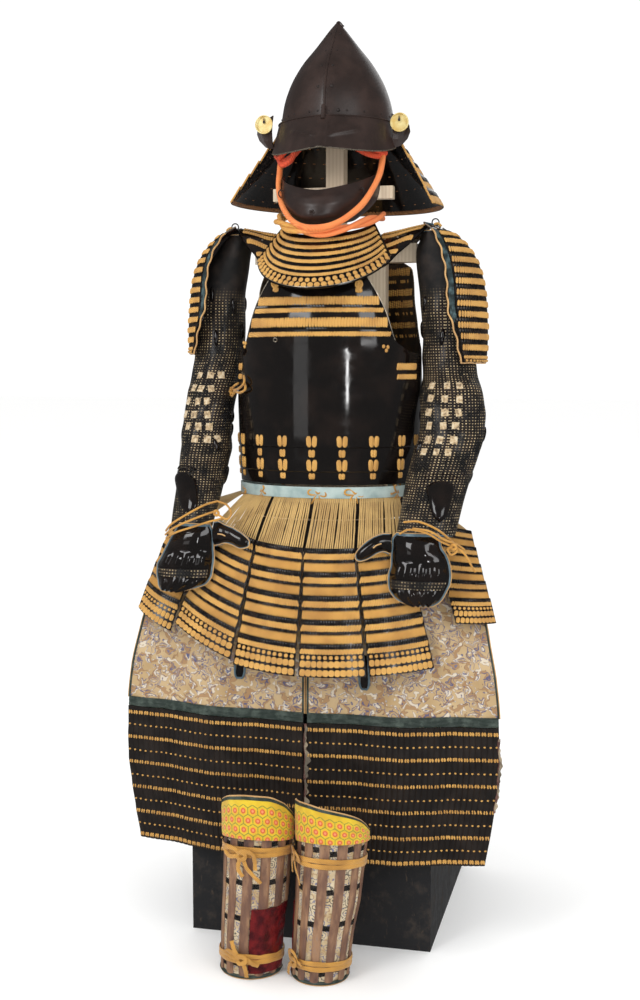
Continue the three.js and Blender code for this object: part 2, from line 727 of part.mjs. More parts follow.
// The thumb pieces from the hand to the tip: the middle line and half the height.
const THUMB_RIGHT = [
  { x: 156.5, y: -250, z: 744, half: 17 },
  { x: 142, y: -255, z: 747, half: 14 },
  { x: 130, y: -260, z: 743.5, half: 13.5 },
  { x: 120, y: -263, z: 737, half: 13.5 },
  { x: 108, y: -267, z: 729, half: 11 },
  { x: 101, y: -269, z: 725, half: 6.5 },
  { x: 98.5, y: -270, z: 724, half: 2 },
];
const THUMB_LEFT = [
  { x: -167, y: -250, z: 752, half: 20 },
  { x: -157, y: -253, z: 755, half: 19.5 },
  { x: -145, y: -257, z: 754.5, half: 15 },
  { x: -131, y: -261, z: 752, half: 13 },
  { x: -117, y: -265, z: 746, half: 13 },
  { x: -106, y: -268, z: 743, half: 9.5 },
  { x: -99.5, y: -269, z: 741.5, half: 5 },
  { x: -97.6, y: -270, z: 741, half: 1.5 },
];

function arms() {
  const laced = lames([0, 0.2, 0.36, 0.52, 0.68, 0.84], 1);
  for (const [word, s, table] of [['left', -1, SLEEVE_LEFT], ['right', 1, SLEEVE_RIGHT]]) {
    add(`shoulder_guard_${word}`, 'blackLacquer', wall({
      at: (u, v) => shoulderPoint(s, u, v),
      columns: spread(-1, 1, 7),
      rows: laced.rows,
      thick: LACED,
      side: -s,
      rise: laced.rise,
    }));
    add(`sleeve_${word}`, 'brocade', wall({
      at: (angle, place) => sleevePoint(table, angle, place),
      columns: spread(0, 330, 12),
      rows: spread(0, table.length - 1, table.length),
      thick: CLOTH,
      side: -1,
      ring: true,
    }));
  }
  const hands = [['left', -1, HAND_LEFT, THUMB_LEFT], ['right', 1, HAND_RIGHT, THUMB_RIGHT]];
  for (const [word, s, hand, thumb] of hands) {
    add(`hand_guard_${word}`, 'blackLacquer', wall({
      at: (u, place) => {
        const { z, left, right, edge, bow } = between(hand, place);
        return point(lerp(left, right, (u + 1) / 2), -edge - bow * Math.sqrt(1.02 - u * u), z);
      },
      columns: spread(-1, 1, 8),
      rows: spread(0, hand.length - 1, hand.length),
      thick: CLOTH,
      side: -1,
    }));
    add(`thumb_guard_${word}`, 'blackLacquer', wall({
      at: (place, v) => {
        const { x, y, z, half } = between(thumb, place);
        return point(x, y - 0.5 * half * Math.sin(Math.PI * v), z + half * (1 - 2 * v));
      },
      columns: spread(0, thumb.length - 1, thumb.length),
      rows: spread(0, 1, 6),
      thick: CLOTH,
      side: s,
    }));
  }
}

// ---------------------------------------------------------------- thigh apron

// One panel of the apron from the waist to the hem: half width, and how far forward its middle and
// its outer edge hang.
const APRON_SECTIONS = [
  { z: 772, half: 140, front: 176, side: 110 },
  { z: 735, half: 180, front: 188, side: 138 },
  { z: 670, half: 250, front: 210, side: 172 },
  { z: 608, half: 312, front: 230, side: 200 },
  { z: 555, half: 325, front: 240, side: 214 },
  { z: 500, half: 336, front: 244, side: 222 },
  { z: 432, half: 343, front: 246, side: 225 },
  { z: 340, half: 345, front: 247, side: 226 },
  { z: 250, half: 336, front: 247, side: 226 },
  { z: APRON.hem, half: 322, front: 247, side: 226 },
];
const APRON_LIFT = 0.02; // how fast the outer edges rise below the waist

// The largest folds of a panel: where across it each lies, its half width and its depth in mm.
const APRON_FOLDS = [
  { at: 0.22, width: 0.1, depth: 5 },
  { at: 0.5, width: 0.12, depth: -6 },
  { at: 0.78, width: 0.1, depth: 6 },
];

function apronPoint(s, u, z) {
  const { half, front, side } = lookUp(APRON_SECTIONS, 'z', z);
  let fold = 0;
  for (const row of APRON_FOLDS) {
    fold += row.depth * Math.exp(-(((u - row.at) / row.width) ** 2));
  }
  const low = Math.min(1, Math.max(0, (700 - z) / 200));
  const lift = APRON_LIFT * Math.max(0, 730 - z) * u * u;
  return point(s * lerp(SPLIT, half, u), -lerp(front, side, u ** 2) + fold * low, z + lift);
}

// The same panel moved out, for what lies on it.
function onApron(s, u, z, out) {
  const du = apronPoint(s, Math.min(u + 0.01, 1), z).sub(apronPoint(s, Math.max(u - 0.01, 0), z));
  const dz = apronPoint(s, u, z - 1).sub(apronPoint(s, u, z + 1));
  return apronPoint(s, u, z).addScaledVector(du.cross(dz).normalize(), -s * out);
}

function thighApron() {
  const columns = [0, 0.11, 0.22, 0.36, 0.5, 0.64, 0.78, 0.89, 1];
  for (const [word, s] of [['left', -1], ['right', 1]]) {
    const side = -s;
    add(`thigh_apron_cloth_${word}`, 'brocade', wall({
      at: (u, z) => apronPoint(s, u, -z),
      columns,
      rows: APRON_SECTIONS.map((row) => -row.z),
      thick: CLOTH,
      side,
    }));
    const out = CLOTH + SEAM;
    add(`thigh_apron_band_${word}`, 'darkLeather', wall({
      at: (u, z) => onApron(s, u, -z, out),
      columns,
      rows: [-APRON.band, -APRON.plates - SEAM],
      thick: PLATE,
      side,
    }));
    const tops = spread(-APRON.plates, -APRON.hem - 51, 5);
    add(`thigh_apron_plates_${word}`, 'blackLacquer', wall({
      at: (u, z) => onApron(s, u, -z, out),
      columns,
      rows: tops.flatMap((top, k) => (k === 0 ? [top] : [top, top + 0.6])).concat(-APRON.hem),
      thick: LACED,
      side,
      rise: (j) => (j === 9 ? STEP / 2 : STEP * ((j + 1) % 2)),
    }));
  }
  add('thigh_apron_waistband', 'paleCloth', wall({
    at: (turn, z) => point((WAIST.half - 12) * sine(turn), WAIST.y - (WAIST.deep - 10) * cosine(turn), -z),
    columns: spread(0, 345, 24),
    rows: [-806, -776],
    thick: CLOTH,
    side: -1,
    ring: true,
  }));
}

// ---------------------------------------------------------------- shin guards

// Sections of a shin guard from the floor up: middle, half width, and how far forward it stands.
const SHIN_LEFT = [
  { z: 0, x: -72, half: 50, front: 400, back: 352 },
  { z: 70, x: -70, half: 51, front: 402, back: 350 },
  { z: 140, x: -64, half: 54, front: 404, back: 348 },
  { z: 258, x: -58, half: 56, front: 406, back: 346 },
];
const SHIN_RIGHT = [
  { z: 0, x: 52, half: 46, front: 396, back: 350 },
  { z: 70, x: 57, half: 48, front: 398, back: 348 },
  { z: 140, x: 65, half: 53, front: 400, back: 346 },
  { z: 258, x: 74, half: 57, front: 402, back: 344 },
];
const SHIN_SPAN = 100;

// A knee piece's lower and upper edges at seven places across, from left to right.
const KNEE_LEFT = [
  { low: 237, high: 292 },
  { low: 246, high: 312 },
  { low: 252, high: 326 },
  { low: 254, high: 331 },
  { low: 252, high: 328 },
  { low: 246, high: 312 },
  { low: 240, high: 281 },
];
const KNEE_RIGHT = [
  { low: 238, high: 309 },
  { low: 247, high: 317 },
  { low: 253, high: 320 },
  { low: 255, high: 316 },
  { low: 254, high: 308 },
  { low: 251, high: 293 },
  { low: 247, high: 266 },
];

function shinPoint(table, turn, z, out = 0) {
  const { x, half, front, back } = lookUp(table, 'z', z);
  return point(x + (half + out) * sine(turn), -back - (front - back + out) * cosine(turn), z);
}

function kneePoint(table, edges, turn, v) {
  const { low, high } = between(edges, ((turn + 84) / 168) * 6);
  const z = lerp(high, low, v);
  const { x, half, front, back } = table.at(-1);
  const lean = 0.06 * (z - 228);
  return point(x + (half + 4) * sine(turn), -back - (front - back + 4 + lean) * cosine(turn), z);
}

// Bands that tie a shin guard round the leg: middle height, height, and how far the front rises.
const SHIN_TIES = [
  { word: 'upper', left: 221, right: 210, height: 18, rise: 9 },
  { word: 'lower', left: 32, right: 30, height: 17, rise: 6 },
];

function shinGuards() {
  const pair = [['left', SHIN_LEFT, KNEE_LEFT], ['right', SHIN_RIGHT, KNEE_RIGHT]];
  for (const [word, table, edges] of pair) {
    add(`shin_guard_${word}`, 'splints', wall({
      at: (turn, z) => shinPoint(table, turn, -z),
      columns: spread(-SHIN_SPAN, SHIN_SPAN, 13),
      rows: table.map((row) => -row.z).reverse(),
      thick: LACED,
      side: -1,
    }));
    add(`knee_piece_${word}`, 'kneeCloth', wall({
      at: (turn, v) => kneePoint(table, edges, turn, v),
      columns: spread(-84, 84, 13),
      rows: [0, 0.5, 1],
      thick: 4,
      side: -1,
    }));
    for (const tie of SHIN_TIES) {
      add(`shin_tie_${tie.word}_${word}`, 'mustardTie', wall({
        at: (turn, z) => shinPoint(table, turn, tie.rise * cosine(turn) - z, LACED + SEAM + 0.6),
        columns: spread(0, 340, 18),
        rows: [-tie[word] - tie.height / 2, -tie[word] + tie.height / 2],
        thick: PLATE,
        side: -1,
        ring: true,
      }));
    }
  }
}

box();
stand();
helmet();
neckGuard();
mask();
cuirass();
tassetCords();
tassets();
arms();
thighApron();
shinGuards();

export default part;
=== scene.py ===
"""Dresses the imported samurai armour: every piece gets its real surface, lacing and finish.

Sizes below are millimetres in the part's own frame (+Z up, the armour faces -Y, "left" and "right"
are the viewer's); pieces are turned into metres when their meshes are made.
"""
import json
import math
from functools import partial

import bpy
import numpy as np
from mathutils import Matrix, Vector

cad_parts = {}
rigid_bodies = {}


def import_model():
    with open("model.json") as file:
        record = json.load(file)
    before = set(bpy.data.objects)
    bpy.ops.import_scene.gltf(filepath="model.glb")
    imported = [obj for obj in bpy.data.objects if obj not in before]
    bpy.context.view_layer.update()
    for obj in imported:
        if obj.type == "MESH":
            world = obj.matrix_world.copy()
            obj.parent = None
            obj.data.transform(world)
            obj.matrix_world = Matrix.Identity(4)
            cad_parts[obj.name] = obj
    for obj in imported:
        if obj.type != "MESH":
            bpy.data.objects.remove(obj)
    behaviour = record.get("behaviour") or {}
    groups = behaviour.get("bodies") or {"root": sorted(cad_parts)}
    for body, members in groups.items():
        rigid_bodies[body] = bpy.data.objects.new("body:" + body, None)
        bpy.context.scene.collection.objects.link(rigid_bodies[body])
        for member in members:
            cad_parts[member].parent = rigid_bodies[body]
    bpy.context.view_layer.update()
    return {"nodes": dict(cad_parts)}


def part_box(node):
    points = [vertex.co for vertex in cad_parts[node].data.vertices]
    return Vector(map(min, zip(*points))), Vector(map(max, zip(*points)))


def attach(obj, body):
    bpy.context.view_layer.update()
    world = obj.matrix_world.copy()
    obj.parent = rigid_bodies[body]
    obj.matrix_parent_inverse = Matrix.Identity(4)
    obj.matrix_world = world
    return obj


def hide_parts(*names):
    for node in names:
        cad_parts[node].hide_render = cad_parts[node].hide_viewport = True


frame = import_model()

MM = 0.001
RANDOM = np.random.default_rng(7)
# Strength of the white room as light, and as the glossy pieces mirror it.
SOFT_LIGHT = 1.08
DIM_LIGHT = 0.16

# ---------------------------------------------------------------- driving dimensions

# Gap between two layers, and thickness of cloth, of iron plate and of laced lames.
SEAM = 0.4
CLOTH = 2.4
PLATE = 2.0
LACED = 2.6
# How far the top edge of a lame stands out.
STEP = 2.2
WAIST = {"y": -60, "half": 168, "deep": 128}
BELT = {"bottom": 815, "top": 835}
WAISTBAND = {"bottom": 776, "top": 806}
SPLIT = 4
APRON = {"top": 772, "plates": 417, "hem": 163}


# ---------------------------------------------------------------- arrays and tables

SIDES = (("left", -1), ("right", 1))


def both(*makers):
    """Makes pieces for the left side, then the same pieces for the right."""
    for word, s in SIDES:
        for maker in makers:
            maker(word, s)


def spread(first, last, count):
    return np.linspace(first, last, count)


def lerp(a, b, share):
    return a + (b - a) * share


def sine(degrees):
    return np.sin(np.radians(degrees))


def cosine(degrees):
    return np.cos(np.radians(degrees))


def xyz(x, y, z):
    """Stacks coordinates, each a number or an array, into points."""
    return np.stack(np.broadcast_arrays(x, y, z), axis=-1).astype(float)


def unit(vectors):
    length = np.linalg.norm(vectors, axis=-1, keepdims=True)
    return vectors / np.maximum(length, 1e-9)


class Table:
    """Rows of named numbers, read between rows by a smooth curve."""

    def __init__(self, columns, *rows):
        self.columns = columns.split()
        self.rows = np.array(rows, float)
        self.last = len(rows) - 1

    def smooth(self, place):
        """A curve through the rows that never swings past them."""
        place = np.clip(np.asarray(place, float), 0, self.last)
        row = np.minimum(place.astype(int), self.last - 1)
        share = place - row
        found = {}
        for k, name in enumerate(self.columns):
            values = self.rows[:, k]
            steps = np.diff(values)
            slopes = np.zeros(len(values))
            for i in range(1, len(values) - 1):
                if steps[i - 1] * steps[i] > 0:
                    slopes[i] = 2 * steps[i - 1] * steps[i] / (steps[i - 1] + steps[i])
            slopes[0], slopes[-1] = steps[0], steps[-1]
            a, b = values[row], values[row + 1]
            p, q = slopes[row], slopes[row + 1]
            s2, s3 = share ** 2, share ** 3
            found[name] = (
                a * (2 * s3 - 3 * s2 + 1) + p * (s3 - 2 * s2 + share) + b * (3 * s2 - 2 * s3) + q * (s3 - s2)
            )
        return found

    def place_of(self, name, value):
        """The place at which a rising or falling column has a value."""
        values = self.rows[:, self.columns.index(name)]
        places = np.arange(len(values))
        if values[-1] < values[0]:
            values, places = values[::-1], places[::-1]
        return np.interp(value, values, places)


# ---------------------------------------------------------------- mesh making

class Soup:
    """Points and faces of one piece, gathered before its mesh is made."""

    def __init__(self):
        self.points, self.quads, self.uvs, self.paint = [], [], [], []
        self.count = 0

    def add(self, points, quads, uvs=None, paint=0):
        points = np.asarray(points, float).reshape(-1, 3)
        quads = np.asarray(quads, int).reshape(-1, 4)
        self.points.append(points)
        self.quads.append(quads + self.count)
        self.uvs.append(np.zeros((len(quads), 4, 2)) if uvs is None else np.asarray(uvs, float))
        self.paint.append(np.full(len(quads), paint, int))
        self.count += len(points)
        return self


def make(name, soup, materials, replaces=(), smooth=35):
    """Turns a soup into an object that rides on the part. A quad whose last corner repeats is a triangle."""
    points = np.concatenate(soup.points) * MM
    quads = np.concatenate(soup.quads)
    uvs = np.concatenate(soup.uvs) * MM
    paint = np.concatenate(soup.paint)
    pointed = quads[:, 2] == quads[:, 3]
    sizes = np.where(pointed, 3, 4)
    keep = np.ones(quads.shape, bool)
    keep[pointed, 3] = False
    mesh = bpy.data.meshes.new(name)
    mesh.vertices.add(len(points))
    mesh.vertices.foreach_set("co", points.ravel())
    mesh.loops.add(int(sizes.sum()))
    mesh.loops.foreach_set("vertex_index", quads[keep])
    mesh.polygons.add(len(quads))
    mesh.polygons.foreach_set("loop_start", np.concatenate([[0], np.cumsum(sizes)[:-1]]))
    mesh.polygons.foreach_set("loop_total", sizes)
    mesh.polygons.foreach_set("material_index", paint)
    layer = mesh.uv_layers.new(name="cloth")
    layer.data.foreach_set("uv", uvs[keep].ravel())
    mesh.update(calc_edges=True)
    mesh.validate()
    mesh.shade_smooth()
    if smooth:
        mesh.set_sharp_from_angle(angle=math.radians(smooth))
    for material in materials:
        mesh.materials.append(material)
    piece = bpy.data.objects.new(name, mesh)
    bpy.context.scene.collection.objects.link(piece)
    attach(piece, "root")
    if replaces:
        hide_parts(*replaces)
    return piece


def grid_quads(rows, columns, ring=False):
    """Quads of a grid of points, row by row; a ring joins its last column to its first."""
    across = columns if ring else columns - 1
    j, i = np.meshgrid(np.arange(rows - 1), np.arange(across), indexing="ij")
    after = (i + 1) % columns
    above, below = j * columns, (j + 1) * columns
    return np.stack([above + i, above + after, below + after, below + i], -1).reshape(-1, 4)


def grid_uvs(points, ring=False):
    """Cloth coordinates in mm: along the middle row, and down the middle column."""
    rows, columns = points.shape[:2]
    closed = np.concatenate([points, points[:, :1]], 1) if ring else points
    along = np.linalg.norm(np.diff(closed, axis=1), axis=-1).mean(0)
    down = np.linalg.norm(np.diff(points, axis=0), axis=-1).mean(1)
    u = np.concatenate([[0], np.cumsum(along)])
    v = np.concatenate([[0], np.cumsum(down)])
    u = u - u[-1] / 2
    v = -v
    across = columns if ring else columns - 1
    j, i = np.meshgrid(np.arange(rows - 1), np.arange(across), indexing="ij")
    corner = [(j, i), (j, i + 1), (j + 1, i + 1), (j + 1, i)]
    return np.stack([np.stack([u[b], v[a]], -1) for a, b in corner], 2).reshape(-1, 4, 2)


def normals(points, ring=False):
    """Unit normals of a grid, towards (along row) x (down the columns)."""
    if ring:
        across = np.roll(points, -1, 1) - np.roll(points, 1, 1)
    else:
        across = np.gradient(points, axis=1)
    down = np.gradient(points, axis=0)
    return unit(np.cross(across, down))


def shell(soup, inner, outer, side, ring=False, paint=(0, 0, 0)):
    """A closed wall between two grids. paint gives the outer face's, inner face's and rim's material."""
    rows, columns = inner.shape[:2]
    flip = (lambda q: q) if side > 0 else (lambda q: q[..., ::-1])
    turn = (lambda w: w) if side > 0 else (lambda w: w[:, ::-1])
    quads = grid_quads(rows, columns, ring)
    uvs = grid_uvs(outer, ring)
    start = soup.count
    soup.add(outer, flip(quads), turn(uvs), paint[0])
    soup.add(inner, flip(quads)[:, ::-1], turn(uvs)[:, ::-1], paint[1])
    base = rows * columns
    i = np.arange(columns if ring else columns - 1)
    after = (i + 1) % columns
    edges = [(after, i), ((rows - 1) * columns + i, (rows - 1) * columns + after)]
    if not ring:
        j = np.arange(rows - 1) * columns
        edges += [(j, j + columns), (j + 2 * columns - 1, j + columns - 1)]
    for a, b in edges:
        quads = np.stack([a, b, b + base, a + base], -1) + start - soup.count
        length = np.cumsum(np.full(len(a), 3.0))
        strip = np.stack([
            np.stack([length, length * 0], -1), np.stack([length + 3, length * 0], -1),
            np.stack([length + 3, length * 0 + 2], -1), np.stack([length, length * 0 + 2], -1),
        ], 1)
        soup.quads.append(flip(quads)[:, ::-1] + soup.count)
        soup.uvs.append(turn(strip)[:, ::-1])
        soup.paint.append(np.full(len(quads), paint[2], int))
    return soup


def wall(soup, at, us, vs, thick, side, ring=False, paint=(0, 0, 0), rise=None):
    """The closed wall built up from a surface at(u, v); rise(u, v) thickens it further."""
    u, v = np.meshgrid(us, vs)
    inner = at(u, v)
    extra = 0 if rise is None else rise(u, v)[..., None]
    outer = inner + side * normals(inner, ring) * (thick + extra)
    return shell(soup, inner, outer, side, ring, paint)


class Skin:
    """The outer face of a surface: points on it, or above it, with their own axes."""

    def __init__(self, at, side, lift=0.0, du=1e-3, dv=1e-3):
        self.at, self.side, self.du, self.dv = at, side, du, dv
        self.lift = lift if callable(lift) else (lambda u, v: lift)

    def axes(self, u, v):
        """Across, down and outward, at each place."""
        u, v = np.broadcast_arrays(np.asarray(u, float), np.asarray(v, float))
        across = unit(self.at(u + self.du, v) - self.at(u - self.du, v))
        down = self.at(u, v + self.dv) - self.at(u, v - self.dv)
        out = unit(np.cross(across, down)) * self.side
        return across, unit(np.cross(out, across)) * self.side, out

    def point(self, u, v, out=0.0):
        u, v, out = np.broadcast_arrays(np.asarray(u, float), np.asarray(v, float), np.asarray(out, float))
        return self.at(u, v) + self.axes(u, v)[2] * (self.lift(u, v) + out)[..., None]


def patch(soup, skin, us, vs, thick, side, paint, rise=None, sink=0.4):
    """A thin piece laid on a skin and sunk a little into it."""
    return wall(soup, lambda u, v: skin.point(u, v, -sink), us, vs, thick, side, False, (paint,) * 3, rise)


def run(skin, first, last, count, out=0.0):
    """A line of points on a skin, from one place (u, v) to another."""
    return skin.point(spread(first[0], last[0], count), spread(first[1], last[1], count), out)


# ---------------------------------------------------------------- forms shared with the solids

BOWL = Table(
    "z half front back",
    (1692, 0, 0, 0), (1678, 12, 14, 14), (1645, 38, 38, 44), (1608, 67, 72, 78),
    (1572, 87, 93, 101), (1540, 98, 102, 113), (1500, 105, 107, 120),
)
RIDGE = {"height": 6, "reach": 24}
VISOR = {"span": 68, "brow": 1503, "lip": 1441, "reach": 38, "side_reach": 14}
DISC_RADIUS = 16.5
TILT = 6
NECK_GUARD = {
    "count": 5, "top": 1490, "pitch": 27, "height": 34, "half": 108, "grow": 18.4, "flare": 20,
    "back": 0.88, "front": (82, 80, 78, 75, 72),
}


def bowl_at(turn, place):
    row = BOWL.smooth(place)
    away = np.abs((turn + 180) % 360 - 180)
    share = np.clip(1 - away / RIDGE["reach"], 0, 1)
    fold = RIDGE["height"] * share ** 1.6 * np.minimum(1, row["half"] / 40)
    deep = np.where(cosine(turn) > 0, row["front"] + fold, row["back"])
    return xyz(2 + row["half"] * sine(turn), -deep * cosine(turn), row["z"])


def visor_at(turn, v):
    brow = bowl_at(turn, BOWL.last + 0 * v)
    aside = np.abs(turn) / VISOR["span"]
    grow = 4 + v * lerp(VISOR["reach"], VISOR["side_reach"], aside)
    flat = np.hypot(brow[..., 0], brow[..., 1])
    droop = -4 * np.sin(np.pi * aside) * v
    z = lerp(VISOR["brow"], VISOR["lip"] + 8 * aside ** 4, v) + droop
    stretch = 1 + grow / flat
    return xyz(brow[..., 0] * stretch, brow[..., 1] * stretch, z)


def neck_at(k, turn, v):
    g = NECK_GUARD
    radius = g["half"] + k * g["grow"] + v * g["flare"]
    low = (k + v) / g["count"]
    tilt = TILT * low * (1 - sine(turn))
    droop = 5 * low * np.maximum(0, cosine(turn))
    z = g["top"] - k * g["pitch"] - v * g["height"] + tilt - droop
    return xyz(radius * sine(turn), -radius * g["back"] * cosine(turn), z)


MASK = Table("half front side", (90, 156, 32), (91, 168, 32), (88, 176, 34), (74, 176, 42), (50, 156, 60))
MASK_EDGE = {"top": 1364, "top_side": 1408, "bottom": 1305, "bottom_side": 1322, "span": 84}
BIB = {
    "span": 76,
    "top": {"half": 84, "front": 160, "side": 64, "z": 1283, "rise": 28},
    "hem": {"half": 123, "front": 210, "side": 104, "z": 1188, "rise": 60},
}


def mask_at(turn, place):
    row = MASK.smooth(place)
    outward = np.abs(turn) / MASK_EDGE["span"]
    top = lerp(MASK_EDGE["top"], MASK_EDGE["top_side"], outward ** 1.5)
    bottom = lerp(MASK_EDGE["bottom"], MASK_EDGE["bottom_side"], outward ** 2)
    y = -row["side"] - (row["front"] - row["side"]) * cosine(turn)
    return xyz(row["half"] * sine(turn), y, lerp(top, bottom, place / MASK.last))


def bib_at(turn, v):
    top, hem, span = BIB["top"], BIB["hem"], BIB["span"]
    bow = (cosine(turn) - cosine(span)) / (1 - cosine(span))
    aside = (turn / span) ** 2
    x = lerp(top["half"], hem["half"], v) * sine(turn) / sine(span)
    y = -lerp(lerp(top["side"], hem["side"], v), lerp(top["front"], hem["front"], v), bow)
    return xyz(x, y, lerp(top["z"] + top["rise"] * aside, hem["z"] + hem["rise"] * aside, v))


# Sections of the cuirass: height, half width, depth, and how far round the plate reaches, in degrees.
BODY = "z half deep reach"
BARREL = (
    (1069, 172, 129, 89.7), (1000, 173, 130, 89.7), (921.5, 171, 129, 89.7), (879.5, 169, 128, 89.7),
    (839, 167, 127, 89.7),
)
FRONT = Table(
    BODY, (1213, 150, 110, 36), (1180, 158, 119, 43), (1150, 164, 124, 48), (1120, 169, 127, 51),
    (1098, 171, 128, 54), (1080, 172, 129, 67), *BARREL,
)
BACK = Table(
    BODY, (1250, 200, 122, 36), (1235, 178, 122, 53), (1180, 165, 122, 66), (1125, 170, 127, 68),
    (1096, 171, 128, 74), *BARREL,
)
STRAP = Table(
    "y z inner outer lift",
    (46, 1262, 74, 118, 0), (24, 1290, 80, 166, 10), (-20, 1294, 88, 184, 18), (-50, 1286, 90, 178, 16),
    (-84, 1260, 86, 138, 0), (-112, 1230, 76, 112, 0), (-142, 1219, 60, 88, 0),
)


def body_at(table, facing, u, z):
    """A plate of the cuirass: u runs from -1 to 1 across it, and z is the height."""
    row = table.smooth(table.place_of("z", z))
    turn = u * row["reach"]
    return xyz(facing * row["half"] * sine(turn), WAIST["y"] - facing * row["deep"] * cosine(turn), z)


def barrel_at(facing, turn, z):
    """The same plate, by the angle from its middle instead of by its share."""
    table = FRONT if facing > 0 else BACK
    row = table.smooth(table.place_of("z", z))
    return xyz(facing * row["half"] * sine(turn), WAIST["y"] - facing * row["deep"] * cosine(turn), z)


def strap_at(s, u, place):
    row = STRAP.smooth(place)
    return xyz(s * lerp(row["inner"], row["outer"], u), row["y"], row["z"] + row["lift"] * u)


def belt_at(turn, z, out=0):
    """A place round the waist, out mm beyond it."""
    return xyz((WAIST["half"] + out) * sine(turn), WAIST["y"] - (WAIST["deep"] + out) * cosine(turn), z)


# The corners of each tasset: the first and last of its top edge, then those of its foot.
TASSETS = {
    "left_front": ((-2, -255, 733), (-88, -243, 742), (-4, -308, 514), (-118, -296, 527)),
    "right_front": ((2, -255, 733), (88, -248, 734), (4, -308, 514), (121, -298, 518)),
    "left_hip": ((-92, -242, 743), (-178, -196, 770), (-126, -290, 534), (-240, -256, 588)),
    "right_hip": ((92, -247, 734), (172, -212, 744), (127, -295, 518), (232, -256, 530)),
    "left_side": ((-200, -174, 778), (-276, -126, 786), (-253, -248, 571), (-321, -228, 608)),
    "right_side": ((212, -176, 772), (275, -124, 754), (268, -240, 607), (334, -216, 606)),
    "left_back": ((-214, 40, 738), (-140, 106, 738), (-268, 100, 560), (-172, 190, 556)),
    "right_back": ((214, 40, 738), (140, 106, 738), (268, 100, 560), (172, 190, 556)),
}


def tasset_at(name, u, v):
    a, b, c, d = (np.array(corner, float) for corner in TASSETS[name])
    u, v = np.broadcast_arrays(np.asarray(u, float)[..., None], np.asarray(v, float)[..., None])
    top = lerp(a, b, u)
    bottom = lerp(c, d, u)
    bow = 9 * (1 - (2 * u - 1) ** 2)
    out = unit(np.array([a[1] - b[1], b[0] - a[0], 0]))
    outward = out[0] * top[..., :1] + out[1] * (top[..., 1:2] - WAIST["y"])
    return lerp(top, bottom, v) + out * np.where(outward > 0, 1, -1) * bow


SHOULDER = Table(
    "z out deep turn",
    (1311, 190, 66, 12), (1299, 216, 76, 22), (1278, 243, 86, 36), (1248, 264, 94, 46),
    (1210, 277, 97, 52), (1160, 284, 97, 56), (1110, 286, 95, 44), (1058, 284, 92, 32),
)
# The left shoulder guard hangs less low than the right one.
LEFT_DROP = 0.93
SLEEVE = "z x y wide deep turn"
SLEEVES = {
    1: Table(
        SLEEVE, (1298, 186, -14, 19, 32, 0), (1286, 192, -14, 26, 37, 0), (1268, 196, -14, 36, 40, 0),
        (1230, 209, -18, 47, 44, 0), (1170, 219, -24, 50, 44, 0), (1100, 221, -30, 46, 44, 0),
        (1040, 228, -50, 47, 42, 0), (1000, 235, -78, 54, 42, 2), (940, 238, -102, 56, 42, 4),
        (895, 232, -122, 56, 40, 6), (850, 223, -156, 54, 36, 8), (800, 216, -196, 51, 30, 10),
        (758, 210, -224, 49, 22, 12),
    ),
    -1: Table(
        SLEEVE, (1298, -186, -14, 19, 32, 0), (1286, -192, -14, 26, 37, 0), (1268, -200, -14, 30, 40, 0),
        (1230, -214, -18, 40, 44, 0), (1170, -224, -24, 44, 44, 0), (1100, -222, -30, 43, 44, 0),
        (1040, -226, -52, 43, 42, -6), (1000, -227, -74, 42, 46, -10),
        (940, -228, -98, 42, 48, -14), (895, -227, -118, 42, 48, -18), (850, -222, -156, 42, 42, -20),
        (800, -219, -196, 41, 33, -20), (758, -219, -226, 40, 22, -18),
    ),
}
HAND = "z left right edge bow"
HANDS = {
    1: Table(
        HAND, (762, 168, 236, 252, 10), (752, 161, 238, 252, 13), (739, 161, 241, 252, 17),
        (727, 160, 249, 252, 20), (708, 160, 256, 254, 23), (692, 156, 258, 257, 24),
        (682, 156, 257, 259, 24), (670, 158, 252, 262, 22), (658, 166, 246, 265, 19),
        (651, 176, 240, 267, 15), (645, 195, 230, 269, 8),
    ),
    -1: Table(
        HAND, (768, -230, -177, 252, 10), (756, -237, -172, 252, 13), (744, -244, -171, 252, 16),
        (726, -254, -171, 252, 20), (708, -263, -170, 253, 23),
        (694, -270, -171, 255, 24), (682, -270, -172, 258, 24), (668, -267, -180, 261, 22),
        (660, -265, -198, 264, 18), (653, -260, -228, 267, 10),
    ),
}
THUMB = "x y z half"
THUMBS = {
    1: Table(
        THUMB, (156.5, -250, 744, 17), (142, -255, 747, 14), (130, -260, 743.5, 13.5),
        (120, -263, 737, 13.5), (108, -267, 729, 11), (101, -269, 725, 6.5), (98.5, -270, 724, 2),
    ),
    -1: Table(
        THUMB, (-167, -250, 752, 20), (-157, -253, 755, 19.5), (-145, -257, 754.5, 15),
        (-131, -261, 752, 13), (-117, -265, 746, 13), (-106, -268, 743, 9.5), (-99.5, -269, 741.5, 5),
        (-97.6, -270, 741, 1.5),
    ),
}


def shoulder_at(s, u, v):
    row = SHOULDER.smooth(v * SHOULDER.last)
    z = lerp(SHOULDER.rows[0, 0], row["z"], LEFT_DROP) if s < 0 else row["z"]
    return xyz(s * (row["out"] - row["turn"] * u * u), -6 + row["deep"] * u, z)


def sleeve_at(s, angle, place):
    row = SLEEVES[s].smooth(place)
    across, along = row["wide"] * sine(angle), -row["deep"] * cosine(angle)
    turn = row["turn"]
    x = row["x"] + across * cosine(turn) - along * sine(turn)
    return xyz(x, row["y"] + across * sine(turn) + along * cosine(turn), row["z"])


def hand_at(s, u, place):
    row = HANDS[s].smooth(place)
    y = -row["edge"] - row["bow"] * np.sqrt(np.maximum(1.02 - u * u, 0.001))
    return xyz(lerp(row["left"], row["right"], (u + 1) / 2), y, row["z"])


